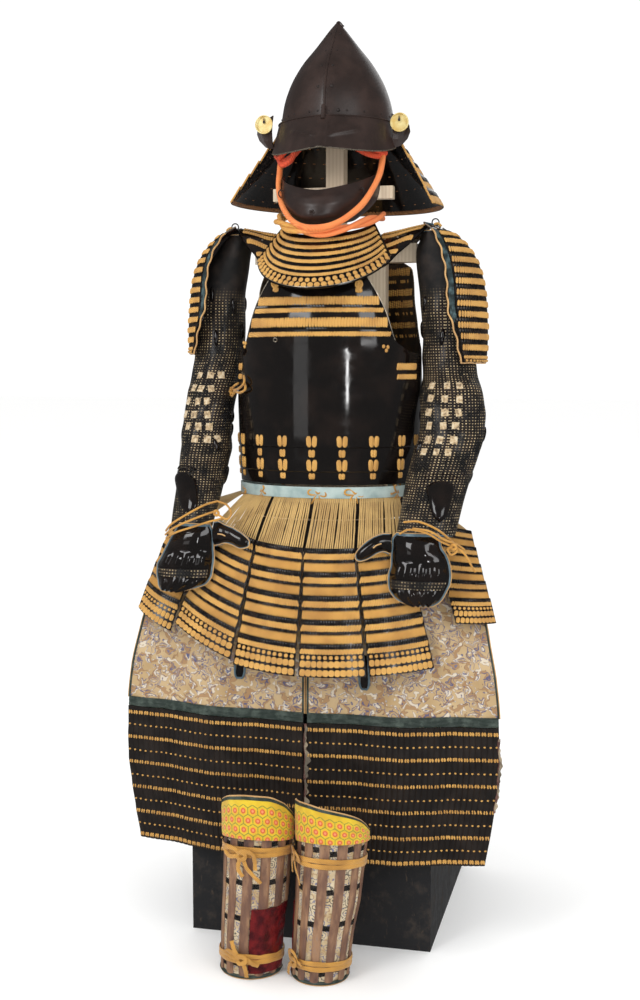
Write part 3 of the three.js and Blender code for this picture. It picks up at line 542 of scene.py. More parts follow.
def thumb_at(s, place, v):
    row = THUMBS[s].smooth(place)
    y = row["y"] - 0.5 * row["half"] * np.sin(np.pi * v)
    return xyz(row["x"], y, row["z"] + row["half"] * (1 - 2 * v))


APRON_SECTIONS = Table(
    "z half front side",
    (APRON["top"], 140, 176, 110), (735, 180, 188, 138), (670, 250, 210, 172), (608, 312, 230, 200),
    (555, 325, 240, 214), (500, 336, 244, 222), (432, 343, 246, 225), (340, 345, 247, 226),
    (250, 336, 247, 226), (APRON["hem"], 322, 247, 226),
)
# How much the apron's outer edges lift, for each mm below the waist.
APRON_LIFT = 0.02
APRON_FOLDS = Table("at width depth", (0.22, 0.1, 5), (0.5, 0.12, -6), (0.78, 0.1, 6))


def apron_at(s, u, z):
    row = APRON_SECTIONS.smooth(APRON_SECTIONS.place_of("z", z))
    fold = 0
    for at, width, depth in APRON_FOLDS.rows:
        fold = fold + depth * np.exp(-(((u - at) / width) ** 2))
    low = np.clip((700 - z) / 200, 0, 1)
    lift = APRON_LIFT * np.maximum(0, 730 - z) * u * u
    y = -lerp(row["front"], row["side"], u ** 2) + fold * low
    return xyz(s * lerp(SPLIT, row["half"], u), y, z + lift)


SHIN_TOP = 258
SHIN_SPAN = 100
SHIN = "z x half front back"
SHINS = {
    -1: Table(SHIN, (SHIN_TOP, -58, 56, 406, 346), (140, -64, 54, 404, 348), (70, -70, 51, 402, 350),
              (0, -72, 50, 400, 352)),
    1: Table(SHIN, (SHIN_TOP, 74, 57, 402, 344), (140, 65, 53, 400, 346), (70, 57, 48, 398, 348),
             (0, 52, 46, 396, 350)),
}
KNEE_EDGES = "low high"
KNEES = {
    -1: Table(KNEE_EDGES, (237, 292), (246, 312), (252, 326), (254, 331), (252, 328), (246, 312), (240, 281)),
    1: Table(KNEE_EDGES, (238, 309), (247, 317), (253, 320), (255, 316), (254, 308), (251, 293), (247, 266)),
}
KNEE_SPAN = 84


def shin_at(s, turn, z, out=0):
    table = SHINS[s]
    row = table.smooth(table.place_of("z", z))
    y = -row["back"] - (row["front"] - row["back"] + out) * cosine(turn)
    return xyz(row["x"] + (row["half"] + out) * sine(turn), y, z)


def knee_at(s, turn, v):
    edges = KNEES[s].smooth((turn + KNEE_SPAN) / (2 * KNEE_SPAN) * KNEES[s].last)
    z = lerp(edges["high"], edges["low"], v)
    _, x, half, front, back = SHINS[s].rows[0]
    lean = 0.06 * (z - 228)
    return xyz(x + (half + 4) * sine(turn), -back - (front - back + 4 + lean) * cosine(turn), z)


# ---------------------------------------------------------------- materials

# The length of one wave of Blender's wave texture at scale 1.
WAVE_PERIOD = math.pi / 10


class Paint:
    """A node material. Each helper adds a node and returns its output; a number or colour stands as it is."""

    def __init__(self, name, color=(0.8, 0.8, 0.8), **shader):
        self.material = bpy.data.materials.new(name)
        self.material.use_nodes = True
        self.tree = self.material.node_tree
        self.shader = self.tree.nodes["Principled BSDF"]
        self.set(Base_Color=color, **shader)
        self.coordinates = {}

    def link(self, value, socket):
        if isinstance(value, bpy.types.NodeSocket):
            self.tree.links.new(value, socket)
        elif hasattr(value, "__len__") and len(value) == 3 and socket.type == "RGBA":
            socket.default_value = (*value, 1)
        else:
            socket.default_value = value

    def set(self, **inputs):
        for name, value in inputs.items():
            self.link(value, self.shader.inputs[name.replace("_", " ")])
        return self

    def where(self, kind="Object"):
        """Coordinates in mm: the part's own frame, or along the cloth (UV)."""
        if kind not in self.coordinates:
            source = self.tree.nodes.new("ShaderNodeTexCoord").outputs[kind]
            scale = self.tree.nodes.new("ShaderNodeVectorMath")
            scale.operation = "SCALE"
            scale.inputs["Scale"].default_value = 1 / MM
            self.tree.links.new(source, scale.inputs[0])
            self.coordinates[kind] = scale.outputs[0]
        return self.coordinates[kind]

    def stretch(self, vector, x=1, y=1, z=1):
        node = self.tree.nodes.new("ShaderNodeMapping")
        self.link(vector, node.inputs["Vector"])
        node.inputs["Scale"].default_value = (x, y, z)
        return node.outputs[0]

    def noise(self, vector, size, detail=3, rough=0.5, twist=0):
        node = self.tree.nodes.new("ShaderNodeTexNoise")
        self.link(vector, node.inputs["Vector"])
        node.inputs["Scale"].default_value = 1 / size
        node.inputs["Detail"].default_value = detail
        node.inputs["Roughness"].default_value = rough
        node.inputs["Distortion"].default_value = twist
        return node.outputs["Fac"]

    def cells(self, vector, size, feature="F1", output="Distance", jitter=1):
        node = self.tree.nodes.new("ShaderNodeTexVoronoi")
        node.feature = feature
        self.link(vector, node.inputs["Vector"])
        node.inputs["Scale"].default_value = 1 / size
        node.inputs["Randomness"].default_value = jitter
        return node.outputs[output]

    def waves(self, vector, size, direction="X", twist=0, detail=0):
        node = self.tree.nodes.new("ShaderNodeTexWave")
        node.bands_direction = direction
        self.link(vector, node.inputs["Vector"])
        node.inputs["Scale"].default_value = WAVE_PERIOD / size
        node.inputs["Distortion"].default_value = twist
        node.inputs["Detail"].default_value = detail
        return node.outputs["Fac"]

    def math(self, operation, a, b=0, c=0):
        node = self.tree.nodes.new("ShaderNodeMath")
        node.operation = operation
        for value, socket in zip((a, b, c), node.inputs):
            self.link(value, socket)
        return node.outputs[0]

    def times(self, a, b):
        return self.math("MULTIPLY", a, b)

    def plus(self, a, b):
        return self.math("ADD", a, b)

    def over(self, a, b):
        return self.math("DIVIDE", a, b)

    def fraction(self, value):
        return self.math("FRACT", value)

    def apart(self, a, b):
        """How far one number is from another."""
        return self.math("ABSOLUTE", self.math("SUBTRACT", a, b))

    def reach(self, a, b):
        """The length of a line that runs a across and b up."""
        return self.math("SQRT", self.plus(self.times(a, a), self.times(b, b)))

    def vector(self, operation, a, b):
        node = self.tree.nodes.new("ShaderNodeVectorMath")
        node.operation = operation
        self.link(a, node.inputs[0])
        self.link(b, node.inputs[1])
        return node.outputs[0]

    def split(self, vector):
        node = self.tree.nodes.new("ShaderNodeSeparateXYZ")
        self.link(vector, node.inputs[0])
        return node.outputs

    def join(self, x, y=0, z=0):
        node = self.tree.nodes.new("ShaderNodeCombineXYZ")
        for value, socket in zip((x, y, z), node.inputs):
            self.link(value, socket)
        return node.outputs[0]

    def step(self, value, low, high, to_low=0, to_high=1):
        """A smooth step from one value to another."""
        node = self.tree.nodes.new("ShaderNodeMapRange")
        node.interpolation_type = "SMOOTHSTEP"
        for k, number in enumerate((value, low, high, to_low, to_high)):
            self.link(number, node.inputs[k])
        return node.outputs[0]

    def mix(self, share, a, b, blend="MIX"):
        node = self.tree.nodes.new("ShaderNodeMix")
        node.data_type = "RGBA"
        node.blend_type = blend
        self.link(share, node.inputs[0])
        self.link(a, node.inputs[6])
        self.link(b, node.inputs[7])
        return node.outputs[2]

    def ramp(self, value, *stops, smooth=False):
        node = self.tree.nodes.new("ShaderNodeValToRGB")
        node.color_ramp.interpolation = "EASE" if smooth else "LINEAR"
        elements = node.color_ramp.elements
        while len(elements) < len(stops):
            elements.new(0.5)
        for element, (place, color) in zip(elements, stops):
            element.position = place
            element.color = (*color, 1)
        self.link(value, node.inputs[0])
        return node.outputs[0]

    def bump(self, height, depth, strength=1, under=None):
        """Relief depth mm deep."""
        node = self.tree.nodes.new("ShaderNodeBump")
        node.inputs["Strength"].default_value = strength
        node.inputs["Distance"].default_value = depth * MM
        self.link(height, node.inputs["Height"])
        if under is not None:
            self.link(under, node.inputs["Normal"])
        return node.outputs[0]


def rgb(red, green, blue):
    """Screen colour, 0 to 255, as the linear light that the shader takes."""
    shares = (red / 255, green / 255, blue / 255)
    return tuple(share / 12.92 if share <= 0.04045 else ((share + 0.055) / 1.055) ** 2.4 for share in shares)


def black_lacquer():
    p = Paint("black_lacquer", rgb(16, 12, 11), Roughness=0.08, Specular_IOR_Level=0.55)
    dust = p.noise(p.where(), 55, 4)
    p.set(
        Base_Color=p.mix(p.step(dust, 0.42, 0.75), rgb(12, 9, 8), rgb(26, 19, 16)),
        Roughness=p.step(p.noise(p.where(), 18, 5), 0.35, 0.8, 0.06, 0.16),
        Normal=p.bump(p.noise(p.where(), 34, 2), 0.3, 0.4),
    )
    return p.material


def plate_lacquer():
    p = Paint("plate_lacquer", rgb(24, 18, 15), Roughness=0.25)
    p.set(
        Base_Color=p.mix(p.step(p.noise(p.where(), 14, 4), 0.4, 0.7), rgb(15, 12, 11), rgb(40, 31, 26)),
        Roughness=p.step(p.noise(p.where(), 6, 4), 0.3, 0.8, 0.16, 0.4),
    )
    return p.material


def rib_lacquer():
    """The thin ribbed plates of the thigh apron: dark brown lacquer, dull and dusty."""
    p = Paint("rib_lacquer", rgb(30, 23, 19), Roughness=0.42)
    dust = p.noise(p.where(), 40, 4)
    p.set(
        Base_Color=p.mix(p.step(dust, 0.35, 0.7), rgb(25, 19, 16), rgb(38, 30, 25)),
        Roughness=p.step(p.noise(p.where(), 9, 4), 0.3, 0.8, 0.36, 0.52),
    )
    return p.material


def russet_iron():
    p = Paint("russet_iron", rgb(60, 43, 37), Roughness=0.4)
    blotch = p.noise(p.where(), 44, 3, 0.5)
    fine = p.noise(p.where(), 2.2, 4, 0.6)
    p.set(
        Base_Color=p.mix(p.step(blotch, 0.35, 0.7), rgb(40, 28, 24), rgb(54, 39, 34)),
        Roughness=p.step(fine, 0.3, 0.75, 0.3, 0.5),
        Specular_IOR_Level=0.5,
        Normal=p.bump(fine, 0.08, 0.6),
    )
    return p.material


def gilt():
    p = Paint("gilt", rgb(222, 200, 130), Metallic=0.15, Roughness=0.38)
    p.set(
        Base_Color=p.mix(p.step(p.noise(p.where(), 16, 2), 0.3, 0.7), rgb(222, 206, 146), rgb(202, 170, 96)),
        Roughness=p.step(p.noise(p.where(), 12, 2), 0.3, 0.8, 0.3, 0.42),
    )
    return p.material


def silk(name, color, dark, cord=2.2, sheen=0.25):
    """Braided silk: fine slanting plaits with painted shade in the grooves between them, a soft sheen, and
    patches faded by light.
    """
    p = Paint(name, rgb(*color), Roughness=0.62, Sheen_Weight=sheen, Sheen_Roughness=0.5)
    where = p.where()
    plait = p.waves(where, cord, "DIAGONAL", 0.6, 1)
    fade = p.noise(where, 38, 3)
    fibre = p.noise(where, 1.1, 2)
    faded = tuple(lerp(np.array(rgb(*color)), np.array(rgb(*dark)), 0.45))
    tint = p.mix(p.step(fade, 0.35, 0.7), rgb(*color), faded)
    # The grooves between the plaits are pulled towards the dark colour: painted shade.
    p.set(
        Base_Color=p.mix(p.times(p.step(plait, 0.0, 0.55, 1, 0), 0.55), tint, rgb(*dark)),
        Normal=p.bump(p.plus(plait, p.times(fibre, 0.5)), 0.45, 0.8),
    )
    return p.material


def plain_cloth(name, color, dark, weave=0.9, sheen=0.1):
    p = Paint(name, rgb(*color), Roughness=0.85, Sheen_Weight=sheen)
    where = p.where("UV")
    warp = p.waves(where, weave, "X")
    weft = p.waves(where, weave, "Y")
    cloth = p.math("MAXIMUM", warp, weft)
    blotch = p.noise(p.where(), 30, 4)
    p.set(
        Base_Color=p.mix(p.step(blotch, 0.3, 0.75), rgb(*color), rgb(*dark)),
        Normal=p.bump(cloth, 0.25, 0.6, p.bump(blotch, 0.8, 0.4)),
    )
    return p.material


def throat_silk():
    """The cord under the mask, orange on one half and faded to mustard on the other; its plait grooves are
    darkened as painted shade.
    """
    p = Paint("throat_cord", rgb(238, 132, 66), Roughness=0.62, Sheen_Weight=0.06)
    where = p.where()
    plait = p.waves(where, 2.6, "DIAGONAL", 0.6, 1)
    tint = p.mix(p.step(p.split(where)[0], -45, 5), rgb(210, 156, 70), rgb(238, 134, 72))
    # The plait grooves are darkened towards deep orange: painted shade.
    p.set(
        Base_Color=p.mix(p.times(p.step(plait, 0.0, 0.55, 1, 0), 0.4), tint, rgb(186, 88, 42)),
        Normal=p.bump(plait, 0.45, 0.8),
    )
    return p.material


def leather(name, color, light):
    p = Paint(name, rgb(*color), Roughness=0.5)
    grain = p.cells(p.where(), 1.6, "F1")
    wear = p.noise(p.where(), 16, 5, 0.65)
    p.set(
        Base_Color=p.mix(p.step(wear, 0.42, 0.72), rgb(*color), rgb(*light)),
        Roughness=p.step(wear, 0.3, 0.8, 0.42, 0.65),
        Normal=p.bump(grain, 0.25, 0.6, p.bump(wear, 0.5, 0.5)),
    )
    return p.material


def pale_wood():
    p = Paint("pale_wood", rgb(222, 208, 186), Roughness=0.6)
    grain = p.waves(p.stretch(p.where(), 1, 1, 0.06), 7, "X", 3, 3)
    p.set(
        Base_Color=p.mix(p.step(grain, 0.2, 0.9), rgb(220, 202, 176), rgb(210, 190, 162)),
        Normal=p.bump(grain, 0.15, 0.5),
    )
    return p.material


def box_lacquer():
    p = Paint("box_lacquer", rgb(36, 36, 38), Roughness=0.4)
    where = p.where()
    worn = p.noise(where, 46, 6, 0.7)
    scuff = p.noise(p.stretch(where, 1, 1, 0.25), 7, 5, 0.7)
    base = p.mix(p.step(worn, 0.5, 0.68), rgb(33, 33, 35), rgb(58, 50, 44))
    p.set(
        Base_Color=p.mix(p.times(p.step(scuff, 0.6, 0.72), 0.5), base, rgb(104, 84, 62)),
        Roughness=p.step(worn, 0.3, 0.8, 0.32, 0.6),
        Normal=p.bump(worn, 0.6, 0.5),
    )
    return p.material


def brocade():
    """Beige silk with clouds in brown and cream and scrolls in blue; painted shade above 716 to 720 mm, where
    the tassets and their cords hang over it.
    """
    p = Paint("brocade", rgb(206, 176, 132), Roughness=0.7, Sheen_Weight=0.1)
    where = p.where("UV")
    drift = p.join(p.noise(where, 17, 1), p.noise(p.vector("ADD", where, (90, 40, 0)), 17, 1))
    bent = p.vector("ADD", where, p.vector("MULTIPLY", drift, (34, 34, 0)))
    cloud = p.noise(p.vector("ADD", bent, (400, 0, 0)), 13, 1)
    pale = p.noise(p.vector("ADD", bent, (0, 300, 0)), 10, 1)
    rings = p.cells(bent, 16)
    kind = p.split(p.cells(bent, 16, "F1", "Color"))[0]
    line = p.apart(p.fraction(p.times(rings, 3.6)), 0.5)
    scroll = p.times(p.step(line, 0.07, 0.16, 1, 0), p.step(kind, 0.5, 0.54, 1, 0))

    def edge(value, at, wide):
        return p.step(p.apart(value, at), wide * 0.5, wide, 1, 0)

    color = p.mix(p.step(p.noise(where, 60, 3), 0.3, 0.7), rgb(186, 160, 120), rgb(168, 140, 98))
    color = p.mix(p.times(p.step(cloud, 0.555, 0.57), 0.7), color, rgb(146, 106, 68))
    color = p.mix(p.times(edge(cloud, 0.56, 0.014), 0.8), color, rgb(96, 74, 68))
    color = p.mix(p.times(p.step(pale, 0.59, 0.6), 0.8), color, rgb(206, 196, 178))
    color = p.mix(p.times(edge(pale, 0.592, 0.016), 0.8), color, rgb(84, 88, 122))
    color = p.mix(p.times(scroll, 0.85), color, rgb(68, 74, 116))
    height = p.split(p.where())[2]
    thread = p.waves(where, 0.7, "X")
    # Above 716 to 720 mm the brocade turns dark brown: painted shade behind the tassets and their cords.
    p.set(
        Base_Color=p.mix(p.step(height, 716, 720), color, rgb(30, 25, 22)),
        Normal=p.bump(p.plus(p.times(thread, 0.5), scroll), 0.3, 0.6),
    )
    return p.material


def mail():
    """Rings of dark iron sewn over silk, which shows between them as pale points; above 1165 to 1205 mm the
    rings and points fade out to dark, a painted shade under the shoulder guards.
    """
    p = Paint("mail", rgb(26, 22, 20), Roughness=0.4, Specular_IOR_Level=0.6)
    where = p.where("UV")
    x, y, _ = p.split(where)
    near = []
    for part, pitch in ((x, 5.8), (y, 5.6)):
        cell = p.fraction(p.over(part, pitch))
        near.append(p.apart(cell, 0.5))
    off = p.reach(*near)
    hole = p.step(off, 0.16, 0.27, 1, 0)
    wire = p.step(p.apart(off, 0.42), 0.04, 0.13, 1, 0)
    patch = p.noise(p.where(), 30, 3, 0.6)
    thread = p.noise(p.where(), 3.2, 3, 0.7)
    # Above 1165 to 1205 mm the pale points and the wire relief fade out, leaving dark: painted shade under
    # the shoulder guards.
    low = p.step(p.split(p.where())[2], 1165, 1205, 1, 0)
    hole = p.times(hole, low)
    wire = p.times(wire, low)
    shown = p.times(hole, p.step(p.plus(patch, p.times(thread, 0.7)), 0.7, 1.0))
    silk_color = p.mix(p.step(thread, 0.35, 0.65), rgb(112, 84, 54), rgb(206, 184, 140))
    dark = p.mix(p.step(patch, 0.35, 0.7), rgb(14, 12, 12), rgb(44, 34, 28))
    p.set(
        Base_Color=p.mix(shown, dark, silk_color),
        Roughness=p.step(wire, 0, 1, 0.7, 0.2),
        Normal=p.bump(wire, 1.3, 1.0, p.bump(patch, 1.5, 0.4)),
    )
    return p.material


def window_silk():
    """The pale brocade that shows in the windows of the mail."""
    p = Paint("window_silk", rgb(206, 190, 156), Roughness=0.75, Sheen_Weight=0.2)
    where = p.where()
    blot = p.noise(where, 6, 3)
    p.set(
        Base_Color=p.ramp(
            blot, (0.3, rgb(96, 82, 66)), (0.46, rgb(176, 150, 112)), (0.64, rgb(202, 186, 156)),
        ),
        Normal=p.bump(p.noise(where, 1.2, 2), 0.3, 0.7),
    )
    return p.material


def knee_silk():
    """Yellow silk with a hexagon net and an orange spot in each cell; the paler middle of each raised spot is
    a painted highlight.
    """
    p = Paint("knee_silk", rgb(236, 204, 44), Roughness=0.7, Sheen_Weight=0.15)
    x, y, _ = p.split(p.where("UV"))
    wide, tall = 16.6, 14.9
    row_of = p.math("FLOOR", p.over(y, tall))
    odd = p.times(p.fraction(p.times(row_of, 0.5)), wide)
    across = p.apart(p.fraction(p.over(p.plus(x, odd), wide)), 0.5)
    up = p.apart(p.fraction(p.over(y, tall)), 0.5)
    dx, dy = p.times(across, wide), p.times(up, tall)
    spot = p.reach(dx, dy)
    slope = p.over(p.plus(p.times(dx, 0.6), dy), tall * 2 / 3)
    edge = p.math("MAXIMUM", p.over(dx, wide / 2), slope)
    patterned = p.step(y, -12.8, -12.2, 1, 0)
    spotted = p.step(y, -15.2, -14.8, 1, 0)
    net = p.times(p.step(p.apart(edge, 1), 0.05, 0.11, 1, 0), patterned)
    worn = p.noise(p.where(), 24, 4)
    fray = p.noise(p.where(), 3, 3)
    ground = p.mix(p.step(worn, 0.3, 0.7), rgb(216, 184, 26), rgb(198, 158, 22))
    halo = p.mix(p.times(p.step(spot, 4.8, 6.6, 1, 0), spotted), ground, rgb(214, 160, 36))
    dotted = p.mix(p.times(p.step(spot, 3.7, 4.9, 1, 0), spotted), halo, rgb(204, 92, 38))
    # The paler middle of each raised spot is a painted highlight.
    light = p.mix(p.times(p.step(spot, 1.2, 3.2, 0.85, 0), spotted), dotted, rgb(224, 142, 98))
    lined = p.times(net, p.step(fray, 0.3, 0.5, 0.3, 0.9))
    bead = p.times(p.step(spot, 1.5, 5, 1, 0), spotted)
    p.set(
        Base_Color=p.mix(lined, light, rgb(92, 116, 40)),
        Normal=p.bump(p.waves(p.where("UV"), 0.8, "X"), 0.2, 0.5, p.bump(bead, 1.2, 0.8)),
    )
    return p.material


def splint_metal():
    """Brown lacquered splints, with grey patches of painted sheen in places, and pitted."""
    p = Paint("splint_metal", rgb(118, 88, 72), Roughness=0.42)
    where = p.where()
    long = p.stretch(where, 1, 1, 0.3)
    tone = p.noise(long, 22, 5, 0.6)
    pits = p.noise(where, 3.4, 4, 0.7)
    # The grey at the top of the ramp is a painted sheen; the browns are the lacquer's own tone.
    color = p.ramp(
        tone, (0.3, rgb(84, 64, 58)), (0.48, rgb(116, 84, 66)), (0.62, rgb(150, 114, 84)),
        (0.75, rgb(120, 108, 104)),
    )
    p.set(
        Base_Color=p.mix(p.step(pits, 0.64, 0.72), color, rgb(34, 28, 26)),
        Roughness=p.step(tone, 0.3, 0.8, 0.32, 0.55),
        Normal=p.bump(pits, 0.25, 0.6),
    )
    return p.material


def brocade_strip():
    """Cream silk with scrolls in blue and black, between the splints."""
    p = Paint("brocade_strip", rgb(206, 190, 158), Roughness=0.75)
    where = p.where()
    swirl = p.noise(where, 11, 3)
    drift = p.join(p.times(swirl, 12), 0, p.times(swirl, -9))
    rings = p.cells(p.vector("ADD", where, drift), 12)
    line = p.apart(p.fraction(p.times(rings, 3.2)), 0.5)
    kind = p.noise(where, 13, 2)
    ink = p.ramp(kind, (0.38, rgb(40, 40, 46)), (0.5, rgb(84, 94, 136)), (0.6, rgb(150, 118, 82)))
    ground = p.mix(p.step(p.noise(where, 26, 3), 0.35, 0.65), rgb(196, 180, 150), rgb(166, 142, 104))
    p.set(
        Base_Color=p.mix(p.times(p.step(line, 0.1, 0.24, 1, 0), 0.85), ground, ink),
        Normal=p.bump(swirl, 0.4, 0.6),
    )
    return p.material


def red_leather():
    p = Paint("red_leather", rgb(92, 20, 24), Roughness=0.16)
    where = p.where()
    crack = p.cells(where, 9, "DISTANCE_TO_EDGE")
    tone = p.noise(where, 16, 4)
    dent = p.noise(p.stretch(where, 1, 1, 0.5), 5, 4, 0.6)
    p.set(
        Base_Color=p.mix(p.step(tone, 0.35, 0.7), rgb(104, 24, 26), rgb(60, 12, 18)),
        Normal=p.bump(dent, 2.4, 0.9, p.bump(p.step(crack, 0, 0.08), 0.3, 0.5)),
    )
    return p.material


def steel_rim():
    p = Paint("steel_rim", rgb(168, 158, 142), Metallic=0.9, Roughness=0.35)
    p.set(Roughness=p.step(p.noise(p.where(), 4, 3), 0.3, 0.7, 0.22, 0.42))
    return p.material


LACQUER = black_lacquer()
PLATES = plate_lacquer()
RIBBED = rib_lacquer()
IRON = russet_iron()
GILT = gilt()
LACE = silk("gold_lace", (212, 163, 82), (140, 90, 34), 2.2, 0.12)
CORDS = silk("suspension_cord", (214, 178, 112), (132, 96, 50), 1.6, 0.1)
ORANGE = silk("orange_cord", (236, 142, 72), (206, 90, 42), 2.6, 0.06)
THROAT_SILK = throat_silk()
MUSTARD = silk("mustard_tape", (206, 150, 58), (130, 84, 24), 1.6)
BROCADE = brocade()
BELT_CLOTH = plain_cloth("belt_cloth", (172, 188, 184), (128, 150, 150))
SLEEVE_CLOTH = plain_cloth("sleeve_lining", (52, 44, 38), (24, 20, 18), 2.4)
MAIL = mail()
WINDOW = window_silk()
MAROON = leather("maroon_lining", (44, 20, 16), (74, 38, 28))
TEAL = leather("teal_lining", (28, 42, 44), (78, 104, 108))
BROWN_LACE = silk("worn_lace", (150, 98, 42), (84, 48, 18), 2.2, 0.1)
PIPING = silk("piping", (214, 172, 112), (150, 104, 58), 1.4, 0.1)
RED_LEATHER = red_leather()
STEEL = steel_rim()
DARK_IRON = leather("dark_iron", (34, 25, 23), (52, 40, 36))
RED_LACQUER = leather("red_lacquer", (96, 24, 16), (130, 40, 26))
LINING_LACQUER = leather("inner_lacquer", (26, 18, 14), (64, 46, 24))
RED_CORD = silk("red_cord", (222, 78, 36), (160, 40, 18), 2.6, 0.06)
EDGING = leather("edging_leather", (70, 92, 104), (108, 128, 136))
GREEN_LEATHER = leather("green_leather", (40, 52, 46), (70, 82, 74))
OLD_LINING = plain_cloth("old_lining", (158, 142, 118), (92, 84, 72))
BROWN_LINING = leather("brown_lining", (78, 46, 40), (120, 84, 74))
KNEE = knee_silk()
SPLINT = splint_metal()
STRIP = brocade_strip()
WOOD = pale_wood()
BOX_PAINT = box_lacquer()


# ---------------------------------------------------------------- small repeated forms

def turned(rings, sides, phase=0.0):
    """A closed form of rings (height, radius) turned round Z; its ends close to points."""
    points, quads = [], []
    angle = (np.arange(sides) + phase) / sides * 2 * np.pi
    for height, radius in rings:
        points.append(np.stack([radius * np.cos(angle), radius * np.sin(angle), np.full(sides, height)], -1))
    points = np.concatenate(points + [np.array([[0, 0, rings[0][0]], [0, 0, rings[-1][0]]])])
    low, high = len(rings) * sides, len(rings) * sides + 1
    k = np.arange(sides)
    after = (k + 1) % sides
    for ring in range(len(rings) - 1):
        a, b = ring * sides, (ring + 1) * sides
        quads.append(np.stack([a + k, a + after, b + after, b + k], -1))
    top = (len(rings) - 1) * sides
    quads.append(np.stack([after, k, np.full(sides, low), np.full(sides, low)], -1))
    quads.append(np.stack([top + k, top + after, np.full(sides, high), np.full(sides, high)], -1))
    return points, np.concatenate(quads)


def lying(form):
    """The same form with its axis along Y."""
    points, quads = form
    return points[:, [0, 2, 1]] * (1, 1, -1), quads


# One cord of lacing (a pad that lies), beads, rivets, a four-sided tile and a dome, each of unit size.
PAD = lying(turned([(-0.96, 0.5), (-0.58, 1.03), (0.58, 1.03), (0.96, 0.5)], 5, 0.75))
BEAD = turned([(-0.3, 0.9), (0.25, 1), (0.8, 0.62), (0.97, 0.28)], 10)
GRAIN = turned([(-0.3, 0.9), (0.4, 1), (0.95, 0.45)], 6)
RIVET = turned([(-0.3, 0.95), (0.2, 1), (0.62, 0.8), (0.9, 0.42)], 8)
TILE = turned([(-0.4, 1.38), (0.3, 1.34), (0.85, 1.1), (1, 0.7)], 4, 0.5)
DOME = turned([(-0.3, 1), (0.3, 0.93), (0.7, 0.7), (0.92, 0.4)], 12)


def scatter(soup, form, places, axes, size, paint=0):
    """Copies of a small form, each at its own place and with its own axes and size."""
    points, quads = form
    across, down, out = (np.broadcast_to(axis, places.shape)[:, None] for axis in axes)
    wide, long, high = (np.broadcast_to(np.asarray(part, float), len(places))[:, None, None] for part in size)
    copies = places[:, None] + (
        points[:, :1] * wide * across + points[:, 1:2] * long * down + points[:, 2:] * high * out
    )
    count = len(places)
    moved = (quads[None] + (np.arange(count) * len(points))[:, None, None]).reshape(-1, 4)
    return soup.add(copies, moved, None, paint)


def row(soup, form, skin, us, v, size, slant=0, sink=0.0, paint=0):
    """Forms along one line of a skin; slant turns them, in degrees. size is in mm."""
    us = np.asarray(us, float)
    v = np.broadcast_to(np.asarray(v, float), us.shape)
    across, down, out = skin.axes(us, v)
    tilt = np.broadcast_to(np.radians(slant), us.shape)[:, None]
    turned_across = across * np.cos(tilt) + down * np.sin(tilt)
    turned_down = down * np.cos(tilt) - across * np.sin(tilt)
    return scatter(soup, form, skin.point(us, v, -sink), (turned_across, turned_down, out), size, paint)


def middles(first, last, count):
    """The middles of equal shares between two ends."""
    return first + (np.arange(count) + 0.5) / count * (last - first)


def pitch_of(skin, first, last, v, count):
    line = skin.at(spread(first, last, 24), np.full(24, float(v)))
    return np.linalg.norm(np.diff(line, axis=0), axis=-1).sum() / count


def stitches(soup, skin, first, last, v0, v1, count, thick=1.5, slant=0, paint=0, loose=0.12, wide=1.1):
    """One band of lacing: cords side by side, standing between two lines of the skin."""
    us = middles(first, last, count)
    middle = (v0 + v1) / 2
    tall = np.linalg.norm(skin.point(us, v1) - skin.point(us, v0), axis=-1)
    half = pitch_of(skin, first, last, middle, count) / 2 * wide
    vary = 1 + RANDOM.uniform(-loose, loose, (3, count))
    size = (half * vary[0], tall / 2 * (1 + (vary[1] - 1) * 0.5), thick * vary[2])
    lean = slant + RANDOM.uniform(-25, 25, count) * loose
    return row(soup, PAD, skin, us, middle, size, lean, 0.25, paint)


def heads(soup, skin, first, last, v0, v1, count, paint=1):
    """The lacquered scale heads that show between two bands of lacing."""
    return stitches(soup, skin, first, last, v0, v1, count, 1.3, 0, paint, 0.04, 0.86)


def evenly(points, count):
    """The same line, walked in equal steps."""
    walked = np.concatenate([[0], np.cumsum(np.linalg.norm(np.diff(points, axis=0), axis=-1))])
    places = np.linspace(0, walked[-1], count)
    return np.stack([np.interp(places, walked, points[:, k]) for k in range(3)], -1)


def shares(at, start, stop, count):
    """Places from start to stop that cut a line at(v) into equal lengths."""
    v = spread(start, stop, 200)
    walked = np.concatenate([[0], np.cumsum(np.linalg.norm(np.diff(at(v), axis=0), axis=-1))])
    return np.interp(np.linspace(0, walked[-1], count + 1), walked, v)


def border(skin, us, vs, count=220, out=0.0, sides="lbra"):
    """A line round a skin: down its left edge (l), along its bottom (b), up its right (r), back (a)."""
    (u0, u1), (v0, v1), n = us, vs, 60
    lines = {
        "l": (np.full(n, u0), spread(v0, v1, n)), "b": (spread(u0, u1, n), np.full(n, v1)),
        "r": (np.full(n, u1), spread(v1, v0, n)), "a": (spread(u1, u0, n), np.full(n, v0)),
    }
    chosen = [lines[side] for side in sides]
    u, v = (np.concatenate([line[k] for line in chosen]) for k in (0, 1))
    return evenly(skin.point(u, v, out), count)


def smooth_path(points, count):
    """An even walk along a smooth curve through a few points."""
    points = np.asarray(points, float)
    padded = np.concatenate([2 * points[:1] - points[1:2], points, 2 * points[-1:] - points[-2:-1]])
    dense = []
    for a, b, c, d in zip(padded[:-3], padded[1:-2], padded[2:-1], padded[3:]):
        t = np.linspace(0, 1, 24, endpoint=False)[:, None]
        dense.append(0.5 * (2 * b + (c - a) * t + (2 * a - 5 * b + 4 * c - d) * t ** 2
                            + (3 * b - a - 3 * c + d) * t ** 3))
    return evenly(np.concatenate(dense + [points[-1:]]), count)


